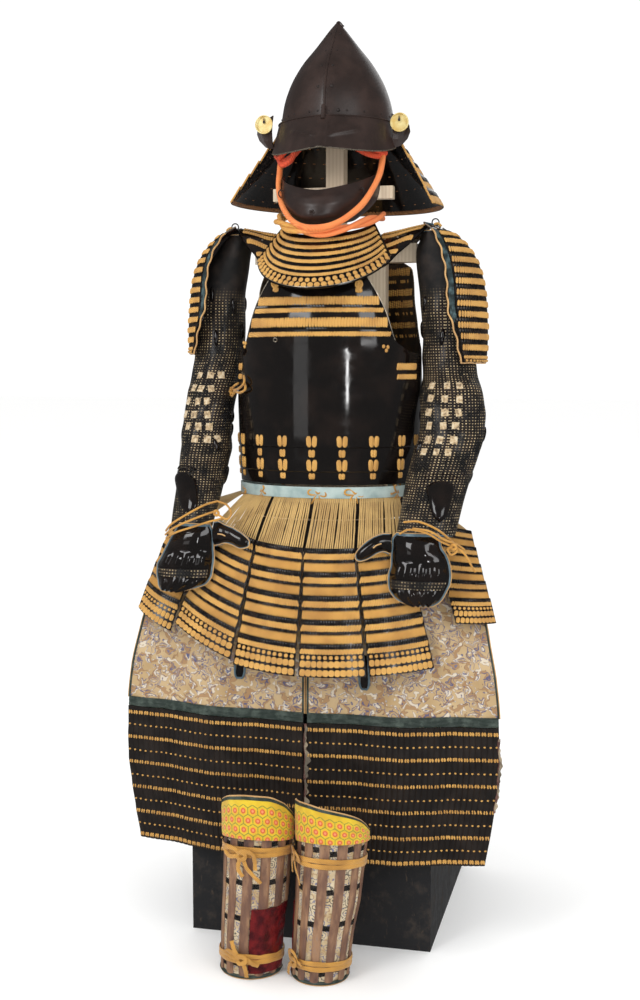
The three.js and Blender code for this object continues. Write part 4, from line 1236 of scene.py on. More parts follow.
def frames(path, closed=False, up=None):
    """Axes that travel along a path without twisting, or that keep one side towards up."""
    ahead = unit(np.roll(path, -1, 0) - np.roll(path, 1, 0)) if closed else unit(np.gradient(path, axis=0))
    if up is not None:
        side = unit(np.cross(ahead, np.broadcast_to(up, ahead.shape)))
        return side, np.cross(side, ahead)
    side = np.zeros_like(ahead)
    first = np.array([0.0, 0, 1]) if abs(ahead[0][2]) < 0.9 else np.array([1.0, 0, 0])
    side[0] = unit(np.cross(ahead[0], first))
    for k in range(1, len(path)):
        flat = side[k - 1] - ahead[k] * np.dot(side[k - 1], ahead[k])
        side[k] = unit(flat)
    return side, np.cross(side, ahead)


def cord(soup, path, radius, sides=7, paint=0, flat=1.0, up=None, closed=False, taper=None):
    """A tube along a path. flat makes it a tape: its thickness as a share of its width."""
    path = np.asarray(path, float)
    side, over = frames(path, closed, up)
    angle = np.arange(sides) / sides * 2 * np.pi
    size = np.full(len(path), float(radius)) if taper is None else radius * np.asarray(taper)
    turn = angle[None, :, None]
    ring = side[:, None] * np.cos(turn) + over[:, None] * np.sin(turn) * flat
    points = path[:, None] + ring * size[:, None, None]
    count = len(path)
    quads = []
    k = np.arange(sides)
    after = (k + 1) % sides
    for j in range(count if closed else count - 1):
        a, b = j * sides, ((j + 1) % count) * sides
        quads.append(np.stack([a + k, b + k, b + after, a + after], -1))
    points = points.reshape(-1, 3)
    if not closed:
        points = np.concatenate([points, path[:1], path[-1:]])
        low, high = count * sides, count * sides + 1
        top = (count - 1) * sides
        quads.append(np.stack([k, after, np.full(sides, low), np.full(sides, low)], -1))
        quads.append(np.stack([top + after, top + k, np.full(sides, high), np.full(sides, high)], -1))
    return soup.add(points, np.concatenate(quads), None, paint)


def rope(soup, path, radius, lay, plies=3, sides=6, paint=0, closed=False, phase=0.0):
    """Strands laid round each other; lay is the length of one full turn."""
    path = np.asarray(path, float)
    side, over = frames(path, closed)
    walked = np.concatenate([[0], np.cumsum(np.linalg.norm(np.diff(path, axis=0), axis=-1))])
    if closed:
        whole = walked[-1] + np.linalg.norm(path[0] - path[-1])
        lay = whole / max(1, round(whole / lay))
    for ply in range(plies):
        angle = 2 * np.pi * (walked / lay + ply / plies) + phase
        middle = path + (side * np.cos(angle)[:, None] + over * np.sin(angle)[:, None]) * radius * 0.5
        shade = paint[ply % len(paint)] if isinstance(paint, tuple) else paint
        cord(soup, middle, radius * 0.56, sides, shade, closed=closed)
    return soup


def loop_of(middle, radius, across, up, count=18):
    """A round loop of points."""
    angle = np.arange(count) / count * 2 * np.pi
    return np.asarray(middle, float) + radius * (
        np.cos(angle)[:, None] * np.asarray(across, float) + np.sin(angle)[:, None] * np.asarray(up, float)
    )


def tape(soup, path, outward, half=3.9, count=24, paint=0, closed=False):
    """A flat woven tape along a path, its face outward."""
    line = path if closed else smooth_path(path, count)
    wide = 1 + 0.08 * np.sin(np.arange(len(line)) * 0.9)
    cord(soup, line, half, 10, paint, flat=0.24, up=outward, closed=closed, taper=wide)
    return line


# Routes of a bow: shares of its size across and down (the knot: of its cord's radius), and radii outward.
BOW_LOOP = ((0, 0, 1), (0.5, -0.34, 2.2), (1, -0.2, 1.6), (0.98, 0.16, 1.2), (0.5, 0.2, 1.4), (0, 0.06, 2.4))
BOW_TAIL = ((0, 0, 2), (0.3, 0.45, 1.6), (0.42, 0.9, 1.1), (0.62, 1.3, 1.0))
BOW_KNOT = ((-1.2, -1.4, 1.5), (0.4, -1.6, 3.2), (1.3, 0, 3.4), (0.2, 1.6, 3.0), (-1.3, 0.9, 1.6))


def bow(soup, place, across, down, size, radius, lean, tails, loops, paint=0):
    """A bow tied flat against a surface: two loops, a knot and two tails."""
    across, down = unit(np.asarray(across, float)), unit(np.asarray(down, float))
    out = unit(np.cross(across, down))
    cos, sin = math.cos(math.radians(lean)), math.sin(math.radians(lean))
    across, down = across * cos + down * sin, down * cos - across * sin

    def at(x, y, z):
        return place + across * x + down * y + out * (radius * z)

    for s, share in zip((-1, 1), loops):
        reach = size * share
        loop = [at(s * reach * x, reach * y, z) for x, y, z in BOW_LOOP]
        cord(soup, smooth_path(loop, 22), radius, 7, paint)
    for s, share in zip((-1, 1), tails):
        reach = size * share
        tail = [at(s * reach * x, reach * y, z) for x, y, z in BOW_TAIL]
        cord(soup, smooth_path(tail, 14), radius, 7, paint)
    knot = [at(radius * x, radius * y, z) for x, y, z in BOW_KNOT]
    cord(soup, smooth_path(knot, 12), radius * 1.25, 8, paint)
    return soup


# ---------------------------------------------------------------- laced lames

def lame(soup, skin, us, v0, v1, thick, side, paint=(1, 1, 1), steps=4):
    """One lacquered lame: a thin plate under its lacing, with its top edge standing proud."""
    return wall(
        soup, lambda u, v: skin.point(u, v, -thick), us, spread(v0, v1, steps), thick, side, paint=paint)


TASSET_LAMES = (0, 0.186, 0.372, 0.558, 0.744, 1.0)
TASSET_COUNT = {"front": 22, "hip": 24, "side": 20, "back": 24}
# Bands of an upper lame and of the last one, as shares of its height.
UPPER_BANDS = (("heads", 0.0, 0.2), ("short", 0.2, 0.5), ("heads", 0.49, 0.6), ("long", 0.59, 1.0))
LAST_BANDS = (
    ("heads", 0.0, 0.14), ("short", 0.14, 0.32), ("dots", 0.32, 0.49), ("block", 0.5, 0.71),
    ("block", 0.765, 0.975),
)


def bands(soup, skin, table, top, end, first, last, count):
    """The bands of one lame, from its top edge down."""
    for kind, start, stop in table:
        v0, v1 = lerp(top, end, start), lerp(top, end, stop)
        if kind == "heads":
            heads(soup, skin, first, last, v0, v1, count)
        elif kind == "short":
            stitches(soup, skin, first, last, v0, v1, count, 1.6, 22)
        elif kind == "long":
            stitches(soup, skin, first, last, v0, v1, 2 * count, 1.4, 0, loose=0.06)
        elif kind == "block":
            stitches(soup, skin, first, last, v0, v1, count // 2, 2.0, 6, loose=0.06, wide=1.0)
        else:
            dots = max(4, count // 2)
            us = middles(first, last, dots)
            half = pitch_of(skin, first, last, (v0 + v1) / 2, dots) / 2
            row(soup, RIVET, skin, us, (v0 + v1) / 2, (half * 0.74, half * 0.74, 1.9), 0, 0.1)


def tassets():
    for name in TASSETS:
        side = 1 if TASSETS[name][0][0] < 0 else -1
        kind = name.split("_")[1]
        count = TASSET_COUNT[kind]
        soup = Soup()
        for k, (top, end) in enumerate(zip(TASSET_LAMES[:-1], TASSET_LAMES[1:])):
            def lift(u, v, top=top, end=end):
                return LACED + STEP * (1 - (v - top) / (end - top))
            skin = Skin(partial(tasset_at, name), side, lift)
            lame(soup, skin, spread(0, 1, 14), top, end, LACED, side)
            bands(soup, skin, UPPER_BANDS if k < 4 else LAST_BANDS, top, end, 0.015, 0.985, count)
        make(f"laced_{name}", soup, [LACE, PLATES], [f"tasset_{name}"])


# The fan of cords above each tasset: where round the belt it starts and ends, and how many cords it has.
FANS = (
    ("right_front", 1, 27, 22), ("right_hip", 29, 60, 24), ("right_side", 66, 104, 18),
    ("right_back", 122, 158, 24), ("left_back", 202, 238, 24), ("left_side", 256, 294, 18),
    ("left_hip", 300, 331, 24), ("left_front", 333, 359, 22),
)
# Angle round the waist, lean and size of each bow on the belt.
BOWS = ((-62, 30, 15), (-38, -50, 13), (3, 8, 17), (26, 10, 18), (58, 60, 14), (-140, 5, 15), (140, -5, 15))
BOW_HEIGHT = 823.0


def suspension():
    """The fans of cords that carry the tassets from the belt."""
    for name, start, end, count in FANS:
        soup = Soup()
        mirrored = name.startswith("left")
        for share in middles(0, 1, count):
            turn = lerp(start, end, share)
            head = belt_at(turn, BELT["bottom"] - 1, 1)
            across = 1 - share if mirrored else share
            foot = tasset_at(name, np.array(across), np.array(0.02))
            out = unit(np.array([sine(turn), -cosine(turn), 0]))
            slack = RANDOM.uniform(0.2, 1.0)
            middle = lerp(head, foot, 0.5) + out * (1.5 + slack)
            low = lerp(head, foot, 0.86) + out * (1.6 + slack * 0.5)
            path = smooth_path([head, lerp(head, foot, 0.1) + out * 1.4, middle, low, foot + out * 1.2], 9)
            sway = np.array([cosine(turn), sine(turn), 0]) * RANDOM.normal(0, 0.75)
            path[1:-1] += sway * np.sin(spread(0, np.pi, 9))[1:-1, None] + RANDOM.normal(0, 0.16, (7, 3))
            cord(soup, path, 1.55 * RANDOM.uniform(0.88, 1.1), 6, flat=0.85)
        make(f"cords_{name}", soup, [CORDS], ["tasset_cords"])


def belt():
    soup = Soup()
    heights = spread(-BELT["top"], -BELT["bottom"], 5)
    wall(soup, lambda turn, v: belt_at(turn, -v), np.arange(0, 360, 3), heights, 2.5, -1, True)
    piece = make("belt_band", soup, [BELT_CLOTH], ["tasset_belt"])


def waistband_at(turn, v):
    """The waistband of the thigh apron, a little creased."""
    crease = 1.2 * sine(turn * 9) * np.sin(v / 7.0)
    half, deep = WAIST["half"] - 12 + crease, WAIST["deep"] - 10 + crease
    return xyz(half * sine(turn), WAIST["y"] - deep * cosine(turn), -v)


def waistband():
    soup = Soup()
    heights = spread(-WAISTBAND["top"], -WAISTBAND["bottom"], 8)
    wall(soup, waistband_at, np.arange(0, 360, 3), heights, CLOTH, -1, True)
    piece = make("waistband_cloth", soup, [SLEEVE_CLOTH], ["thigh_apron_waistband"])


def belt_bows():
    soup = Soup()
    for turn, lean, size in BOWS:
        place = belt_at(turn, BOW_HEIGHT, 4)
        across = np.array([cosine(turn), sine(turn), 0])
        bow(soup, place, across, (0, 0, -1), size, 1.7, lean, (0.9, 0.7), (1, 0.85))
    make("belt_bows", soup, [MUSTARD])


# ---------------------------------------------------------------- camera, light and floor

# The camera's lens and sensor in mm, its place in m, and how far it looks down and aside in degrees.
CAMERA = {"lens": 48.24, "sensor": 36, "place": (0.577, -2.526, 1.054), "down": 5.75, "aside": 13.57}
# Name, place, aim and size in m, and power in W of each lamp.
LAMPS = (
    ("key", (-1.5, -2.9, 2.7), (0, 0, 1.0), (1.4, 1.6), 42),
    ("fill", (2.4, -2.6, 2.2), (0, 0, 0.9), (1.2, 1.4), 22),
    ("low", (-1.35, -2.95, 1.1), (0, 0, 1.0), (0.8, 0.9), 2),
    ("streak", (1.05, -3.0, 1.08), (0, -0.1, 1.05), (0.14, 0.5), 5),
    ("back", (0.4, 2.6, 2.6), (0, 0, 1.0), (2.0, 1.6), 14),
)
FLOOR_REACH = 40


def camera():
    data = bpy.data.cameras.new("camera")
    data.sensor_fit = "AUTO"
    data.sensor_width = CAMERA["sensor"]
    data.lens = CAMERA["lens"]
    view = bpy.data.objects.new("camera", data)
    view.location = CAMERA["place"]
    view.rotation_euler = (math.radians(90 - CAMERA["down"]), 0, math.radians(CAMERA["aside"]))
    bpy.context.scene.collection.objects.link(view)
    bpy.context.scene.camera = view


def lamp(name, place, target, size, power):
    data = bpy.data.lights.new(name, "AREA")
    data.shape = "RECTANGLE"
    data.size, data.size_y = size
    data.energy = power
    light = bpy.data.objects.new(name, data)
    light.location = place
    light.rotation_euler = (Vector(target) - Vector(place)).to_track_quat("-Z", "Y").to_euler()
    bpy.context.scene.collection.objects.link(light)


def surround():
    """A white room for the camera and for soft light, but a dim one in reflections."""
    world = bpy.data.worlds.new("studio")
    world.use_nodes = True
    tree = world.node_tree
    paths = tree.nodes.new("ShaderNodeLightPath")
    soft = tree.nodes["Background"]
    soft.inputs["Color"].default_value = (1, 1, 1, 1)
    strength = tree.nodes.new("ShaderNodeMapRange")
    strength.inputs["To Min"].default_value = SOFT_LIGHT
    strength.inputs["To Max"].default_value = DIM_LIGHT
    tree.links.new(paths.outputs["Is Glossy Ray"], strength.inputs["Value"])
    tree.links.new(strength.outputs["Result"], soft.inputs["Strength"])
    bpy.context.scene.world = world


def studio():
    camera()
    for values in LAMPS:
        lamp(*values)
    surround()
    bpy.context.scene.view_settings.view_transform = "Standard"
    floor()


def floor():
    mesh = bpy.data.meshes.new("floor")
    corners = [(x * FLOOR_REACH, y * FLOOR_REACH, 0) for x, y in ((-1, -1), (1, -1), (1, 1), (-1, 1))]
    mesh.from_pydata(corners, [], [(0, 1, 2, 3)])
    ground = bpy.data.objects.new("floor", mesh)
    mesh.materials.append(Paint("floor", (0.99, 0.99, 0.985), Roughness=1.0).material)
    ground.visible_glossy = False
    bpy.context.scene.collection.objects.link(ground)


# ---------------------------------------------------------------- helmet

# Rivets of the helmet bowl: how far right of the middle, the height, and the radius, in mm.
BOWL_RIVETS = (
    (9, 1664, 1.8), (-7, 1664, 1.8), (10, 1628, 1.7), (-8, 1628, 1.7), (9, 1596, 2.0), (-11, 1596, 1.8),
    (11, 1556, 3.6), (-13, 1556, 2.6),
)
BROW_RIVETS = (-72, -47, -36, -16, -6.5, 4.5, 22, 40, 62, 80)


def helmet_bowl():
    soup = Soup()
    wall(soup, bowl_at, np.arange(0, 360, 4), spread(0.03, BOWL.last, 46), 2.5, -1, True)
    skin = Skin(bowl_at, -1, 2.5)
    for turn, out, radius, flat in ((0.0, 0.2, 2.2, 0.8), (180.0, 0.0, 2.0, 1.0)):
        cord(soup, run(skin, (turn, 0.1), (turn, BOWL.last - 0.02), 60, out), radius, 8, flat=flat)
    tip = skin.point(0.0, 0.05, 0)
    hook = [tip + part for part in ((-1, 1, -4), (0, 0, 0), (3, 0, 0.5), (7, 0, -3), (10, 0, -7))]
    cord(soup, smooth_path(hook, 12), 1.5, 7)
    scatter(soup, BEAD, tip[None] + (11, 0, -8), ((1, 0, 0), (0, 1, 0), (0, 0, 1)), ([1.9], [1.9], [1.9]), 1)
    for x, z, size in BOWL_RIVETS:
        place = float(BOWL.place_of("z", z))
        half = BOWL.smooth(place)["half"]
        row(soup, BEAD, skin, [math.degrees(math.asin(x / half))], place, (size, size, size * 0.8), paint=1)
    place = float(BOWL.place_of("z", 1512))
    around = np.concatenate([BROW_RIVETS, np.arange(105, 256, 25)])
    row(soup, BEAD, skin, around, place, (1.9, 1.9, 1.3), paint=1)
    row(soup, BEAD, skin, [13.5], place, (3.2, 3.2, 2.4), paint=1)
    nub = []
    for z, out in ((1520, 3), (1511, 4.5), (1501, 5.5)):
        nub.append(skin.point(0.0, float(BOWL.place_of("z", z)), out))
    nub.append(nub[-1] + (0, -2, -6))
    cord(soup, smooth_path(nub, 14), 4.0, 9)
    make("iron_bowl", soup, [IRON, DARK_IRON], ["helmet_bowl"])


def brows(turn, v):
    """Beaten eyebrows and the fold between them."""
    total = 1.6 * np.exp(-((np.abs(turn) - 4.5) / 1.2) ** 2) * np.clip(v * 3, 0, 1)
    for s in (-1, 1):
        arc = 0.66 - 0.25 * np.clip((s * turn - 5) / 25, 0, 1) ** 0.8
        on = np.clip((s * turn - 4) / 4, 0, 1) * np.clip((34 - s * turn) / 8, 0, 1)
        total = total + 2.6 * np.exp(-((v - arc) / 0.055) ** 2) * on
        total = total + 1.4 * np.exp(-((v - arc + 0.12) / 0.16) ** 2) * on
    return total


def helmet_visor():
    soup = Soup()
    reach = VISOR["span"] + 7
    wall(soup, visor_at, spread(-reach, reach, 120), spread(0, 1, 40), PLATE, -1, rise=brows)
    skin = Skin(visor_at, -1, PLATE)
    for v, out, radius, paint in ((0.995, -1.0, 1.3, 1), (0.015, 0.2, 1.6, 0)):
        cord(soup, run(skin, (-reach, v), (reach, v), 110, out), radius, 7, paint)
    make("iron_visor", soup, [IRON, STEEL], ["helmet_visor"])


def disc_marks():
    """The drop and the rim on each gilt disc."""
    soup = Soup()
    for word, s in SIDES:
        low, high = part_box(f"helmet_disc_{word}")
        middle = (np.array(low) + np.array(high)) / 2 / MM
        face = low[1] / MM - 0.3
        drop = np.array([middle[0] - s * 0.4, face, middle[2] + 4.6])
        for up, wide, high in ((0.0, 2.3, 0.8), (4.0, 1.2, 0.7)):
            axes = ((1, 0, 0), (0, 0, -1), (0, -1, 0))
            scatter(soup, BEAD, drop[None] + (0, 0, up), axes, ([wide], [3.4], [high]))
        rim = loop_of((middle[0], face + 0.9, middle[2]), DISC_RADIUS - 0.4, (1, 0, 0), (0, 0, 1), 40)
        cord(soup, rim, 1.2, 7, 1, closed=True)
    make("disc_marks", soup, [DARK_IRON, GILT])


def neck_guard():
    for k in range(NECK_GUARD["count"]):
        first = NECK_GUARD["front"][k]
        at = partial(neck_at, k)
        soup = Soup()
        wall(soup, at, spread(first, 360 - first, 90), spread(0, 1, 6), 1.4, -1, paint=(1, 2, 1))
        skin = Skin(at, -1, 2.5)
        count = 62 + 7 * k
        start, stop = first + 1.5, 358.5 - first
        heads(soup, skin, start, stop, 0.24, 0.52, count)
        stitches(soup, skin, start, stop, 0.52, 0.98, count, 1.7, 6)
        inside = Skin(at, 1, 0.0)
        us = spread(first + 8, 352 - first, 22)
        row(soup, PAD, inside, us, 0.46, (2.8, 0.9, 0.5), paint=3)
        if k == NECK_GUARD["count"] - 1:
            stitches(soup, inside, start, stop, 0.74, 0.99, 104, 1.6, 38, paint=3)
        for u in (first, 360 - first):
            cord(soup, run(skin, (u, 0.05), (u, 0.98), 12, 0.2), 1.8, 6)
        make(f"laced_neck_{k + 1}", soup, [LACE, PLATES, LACQUER, BROWN_LACE],
             [f"neck_guard_{k + 1}"])


def mask():
    soup = Soup()
    span = MASK_EDGE["span"]

    def chin(turn, place):
        """The moulded chin and the creases beside the mouth."""
        ridge = 1.6 * np.exp(-((place - 1.1) / 0.35) ** 2) * np.exp(-(turn / 50) ** 2)
        bump = 2.4 * np.exp(-((place - 3.1) / 0.55) ** 2 - (turn / 26) ** 2)
        return ridge + bump

    wall(soup, mask_at, spread(-span, span, 84), spread(0, MASK.last, 44), PLATE, -1, False, (0, 1, 0), chin)
    skin = Skin(mask_at, -1, lambda u, v: PLATE + chin(u, v))
    edge = border(skin, (-span, span), (0, MASK.last), 240, -1)[:-1]
    cord(soup, edge, 1.5, 7, 0, closed=True)
    petals = 5
    heart = skin.point(-3.0, 2.75, 0.6)
    across, down, out = skin.axes(-3.0, 2.75)
    for k in range(petals):
        turn = 2 * math.pi * k / petals
        middle = heart + across * 3.4 * math.cos(turn) + down * 3.4 * math.sin(turn)
        scatter(soup, DOME, middle[None], (across, down, out), ([2.3], [2.3], [1.2]))
    scatter(soup, DOME, heart[None], (across, down, out), ([1.3], [1.3], [1.9]))
    for turn, place in ((-52, 1.1), (50, 1.1)):
        base = skin.point(float(turn), place, 0.5)
        across, down, out = skin.axes(float(turn), place)
        hook = [base + down * a + out * b for a, b in ((-5, 0), (-6, 5), (-2, 8), (3, 7), (6, 4), (7, 1))]
        cord(soup, smooth_path(hook, 14), 1.3, 6, 2)
    make("iron_mask", soup, [IRON, RED_LACQUER, DARK_IRON], ["half_mask"])


# Routes of the chin cord and of the cord under the mask, and those of the red cords' knots at the temples.
CHIN = (
    (-95, -50, 1446), (-95, -62, 1414), (-92, -82, 1384), (-81, -108, 1356), (-65, -136, 1332),
    (-44, -163, 1311), (-18, -184, 1298), (8, -191, 1295), (33, -184, 1300), (56, -166, 1315),
    (79, -141, 1340), (93, -112, 1372), (99, -78, 1404), (99, -46, 1444),
)
THROAT = (
    (-98, -26, 1334), (-97, -62, 1327), (-84, -108, 1315), (-56, -150, 1301), (-20, -174, 1291),
    (14, -178, 1288), (48, -160, 1296), (76, -124, 1309), (93, -74, 1323), (96, -30, 1330),
)

HELMET_KNOTS = (
    ((-96, -52, 1440), (-82, -70, 1432), (-62, -84, 1440), (-52, -84, 1450)),
    ((-98, -54, 1436), (-86, -74, 1424), (-68, -86, 1430), (-58, -92, 1446)),
    ((-104, -52, 1444), (-94, -66, 1438), (-84, -74, 1446), (-74, -78, 1452)),
    ((100, -48, 1438), (88, -64, 1436), (70, -72, 1441), (54, -76, 1450)),
    ((104, -50, 1442), (94, -62, 1444), (82, -68, 1449), (70, -70, 1454)),
)


def helmet_cords():
    soup = Soup()
    path = smooth_path(CHIN, 90)
    cord(soup, path, 6.2, 12, flat=0.86, taper=1 + 0.05 * np.sin(np.arange(90) / 3.1))
    make("chin_cord_silk", soup, [ORANGE], ["chin_cord"])
    soup = Soup()
    rope(soup, smooth_path(THROAT, 90), 8.6, 190, 2, 11, 0, phase=0.6)
    make("throat_cord_silk", soup, [THROAT_SILK], ["throat_cord"])
    soup = Soup()
    for knot in HELMET_KNOTS:
        cord(soup, smooth_path(knot, 16), 5.6, 9)
    make("helmet_knots", soup, [RED_CORD])


# ---------------------------------------------------------------- throat bib

# The edges of the bib's lames, as shares of its height.
BIB_LAMES = (0.0, 0.135, 0.27, 0.405, 0.54, 0.675, 0.79)


def throat_bib():
    soup = Soup()
    span, inner = BIB["span"], BIB["span"] - 2
    wall(soup, bib_at, spread(-span, span, 60), spread(0, 1, 16), 1.6, -1, paint=(1, 2, 1))
    for k, (top, end) in enumerate(zip(BIB_LAMES[:-1], BIB_LAMES[1:])):
        def lift(u, v, top=top, end=end):
            return 2.0 + 1.6 * (v - top) / (end - top)

        skin = Skin(bib_at, -1, lift)
        lame(soup, skin, spread(-span, span, 50), top, end, 1.4, -1, (2, 2, 2), 3)
        stitches(soup, skin, -inner, inner, lerp(top, end, 0.4), end, 50 + 4 * k, 1.9, 34)
    skin = Skin(bib_at, -1, 3.0)
    lame(soup, skin, spread(-span, span, 60), BIB_LAMES[-1], 1.0, 1.4, -1, (2, 2, 2), 4)
    row(soup, BEAD, skin, middles(-inner, inner, 26), 0.855, (4.6, 4.6, 3.0))
    row(soup, BEAD, skin, middles(-inner, inner, 27), 0.945, (5.6, 5.4, 3.4))
    cord(soup, run(skin, (-span, 1.0), (span, 1.0), 120, -0.6), 2.2, 7, 2)
    cord(soup, run(skin, (-span, 0.992), (span, 0.992), 120, 1.2), 0.8, 6, 3)
    for u in (-span, span):
        cord(soup, run(skin, (u, 0), (u, 1), 30, -0.4), 2.0, 7, 2)
    cord(soup, run(skin, (-span, 0), (span, 0), 120, -0.4), 2.2, 7, 2)
    make("laced_bib", soup, [LACE, PLATES, LACQUER, STEEL], ["throat_bib"])


# ---------------------------------------------------------------- cuirass

# Bands of lacing across the chest: kind, upper and lower height.
CHEST_BANDS = (("long", 1176, 1160.5), ("short", 1156, 1147), ("long", 1138.7, 1121), ("short", 1114, 1104.5))
BACK_BANDS = (
    ("long", 1238, 1222), ("short", 1217, 1208), ("long", 1200, 1183), ("short", 1178, 1169), *CHEST_BANDS,
)
ARMHOLE_FOOT = 1098
# The crossed lacing round the waist: its angles, and for each height how far aside, its size and its lean.
LACE_TURNS = (-79, -60.5, -38.6, -20, -0.7, 17.8, 38.1, 60.5, 79)
CROSSES = (
    (917, 1.75, (4.6, 10.4, 3.0), 4), (874, 1.75, (4.6, 10.8, 3.0), 4),
    (895.5, 0.9, (3.4, 7.0, 2.6), 3), (854.5, 0.9, (3.2, 5.6, 2.6), 3),
)
PLATE_EDGES = (905.5, 862)
# Lacing under the arms: its angle and half width, on the front and on the back; and its two heights.
SIDE_LACING = {1: ((-64, 3.8), (66, 11)), -1: ((-62, 8), (62, 8))}
SIDE_BANDS = ((1058, 1044.5), (1038, 1028))
# The tie at the left side: angle, height and distance outward of its strands, then its knot and its tail.
SIDE_TIE = (
    ((-54, 1034, 4), (-50, 1022, 9), (-58, 1012, 7), (-70, 1008, 6), (-78, 1006, 10)),
    ((-54, 1022, 3), (-49, 1010, 8), (-57, 1003, 8), (-68, 1005, 7), (-78, 1008, 10)),
    ((-66, 1020, 3), (-72, 1014, 9), (-80, 1004, 12), (-76, 996, 12), (-70, 1002, 8)),
)
SIDE_KNOT = ((-4, 0, 4), (2, -4, 4), (5, -3, -2), (0, -5, -5), (-4, -3, -1), (0, -6, 3))
SIDE_TAIL = ((0, 0, 0), (-6, -4, -12), (-9, -5, -30), (-12, -5, -48), (-15, -4, -64))


def cuirass():
    for name, facing, table, span in (("front", 1, FRONT, 0.965), ("back", -1, BACK, 0.96)):
        top, foot = table.rows[0, 0], table.rows[-1, 0]

        def at(u, v, t=table, f=facing):
            return body_at(t, f, u, -v)

        def around(turn, v, f=facing):
            return barrel_at(f, turn, -v)

        soup = Soup()
        wall(soup, at, spread(-1, 1, 80), spread(-top, -foot, 60), PLATE, -1, False, (0, 1, 0))
        skin = Skin(at, -1, PLATE)
        for kind, high, low in CHEST_BANDS if facing > 0 else BACK_BANDS:
            wide = 2 * np.abs(skin.point(span, -low)[0])
            count = int(wide * 1.12 / 5.4)
            if kind == "long":
                stitches(soup, skin, -span, span, -high, -low, count, 2.4, 3, paint=2)
                us = middles(-span, span, count)
                row(soup, PAD, skin, us, -low + 2.0, (2.6, 2.6, 1.9), 0, paint=0)
            else:
                stitches(soup, skin, -span, span, -high, -low, count, 2.2, 26, paint=2)
        for u in (-1.0, 1.0):
            cord(soup, run(skin, (u, 1 - top), (u, -ARMHOLE_FOOT), 50, -0.6), 1.1, 7, 3)
        cord(soup, run(skin, (-1, 1 - top), (1, 1 - top), 80, -0.6), 3.2, 8)

        barrel = Skin(around, -1, PLATE)
        for turn in LACE_TURNS:
            for shift in (-1, 1):
                for height, aside, size, lean in CROSSES:
                    row(soup, PAD, barrel, [turn + shift * aside], -height, size, shift * lean, paint=2)
        reach = spread(-88, 88, 260)
        for height in PLATE_EDGES:
            wave = 1.6 * np.abs(np.sin(np.radians(reach * 9.6)))
            cord(soup, barrel.point(reach, -(height + wave), -0.2), 1.8, 6)
        for turn, half in SIDE_LACING[facing]:
            count = max(3, int(half * 2 * 3.0 / 5.4))
            for high, low in SIDE_BANDS:
                stitches(soup, barrel, turn - half, turn + half, -high, -low, count, 2.3, 12, paint=2)
        if facing > 0:
            for turn, z in ((-56, 1091), (46, 1083)):
                for a, b in ((-1.6, 4), (1.6, 3), (0.4, -3)):
                    row(soup, BEAD, barrel, [turn + a], -(z + b), (3.2, 3.6, 2.8), paint=2)
            for x, z in ((-75, 1189), (77, 1186)):
                u = math.degrees(math.asin(x / 156)) / 42
                row(soup, PAD, skin, [u], -z, (6.5, 4.6, 5.0), 0, paint=2)
                base = skin.point(u, -z, 3)
                for s in (-1, 1):
                    loop = [base, base + (s * 6, -1, 9), base + (s * 2, 0, 17), base + (-s * 2, 0, 10), base]
                    cord(soup, smooth_path(loop, 14), 1.8, 6, 2)
            ring = barrel.point(-24.5, -1099.0, 2.2)
            cord(soup, loop_of(ring, 3.4, (1, 0, 0), (0, -0.3, 1)), 0.9, 6, 3, closed=True)
        make(f"laced_cuirass_{name}", soup, [LACQUER, LINING_LACQUER, LACE, STEEL],
             [f"cuirass_{name}"])


def side_tie():
    soup = Soup()
    skin = Skin(lambda t, v: barrel_at(1, t, -v), -1, PLATE)
    for strand in SIDE_TIE:
        cord(soup, smooth_path([skin.point(float(t), -z, out) for t, z, out in strand], 20), 2.3, 7)
    knot = skin.point(-77.0, -1006.0, 10)
    cord(soup, smooth_path([knot + part for part in SIDE_KNOT], 16), 3.0, 8)
    make("side_tie", soup, [MUSTARD])
    soup = Soup()
    path = smooth_path([knot + part for part in SIDE_TAIL], 24)
    cord(soup, path, 2.2, 7)
    make("side_tie_tail", soup, [MUSTARD])


# ---------------------------------------------------------------- shoulder guards and straps

# A shoulder guard's lames start at this share of its height, below its cap; count is the cords in a row.
GUARD = {"lames": 13, "top": 0.15, "count": 36}
CAP_RIVETS = (-0.75, -0.45, -0.15, 0.15, 0.45, 0.75)


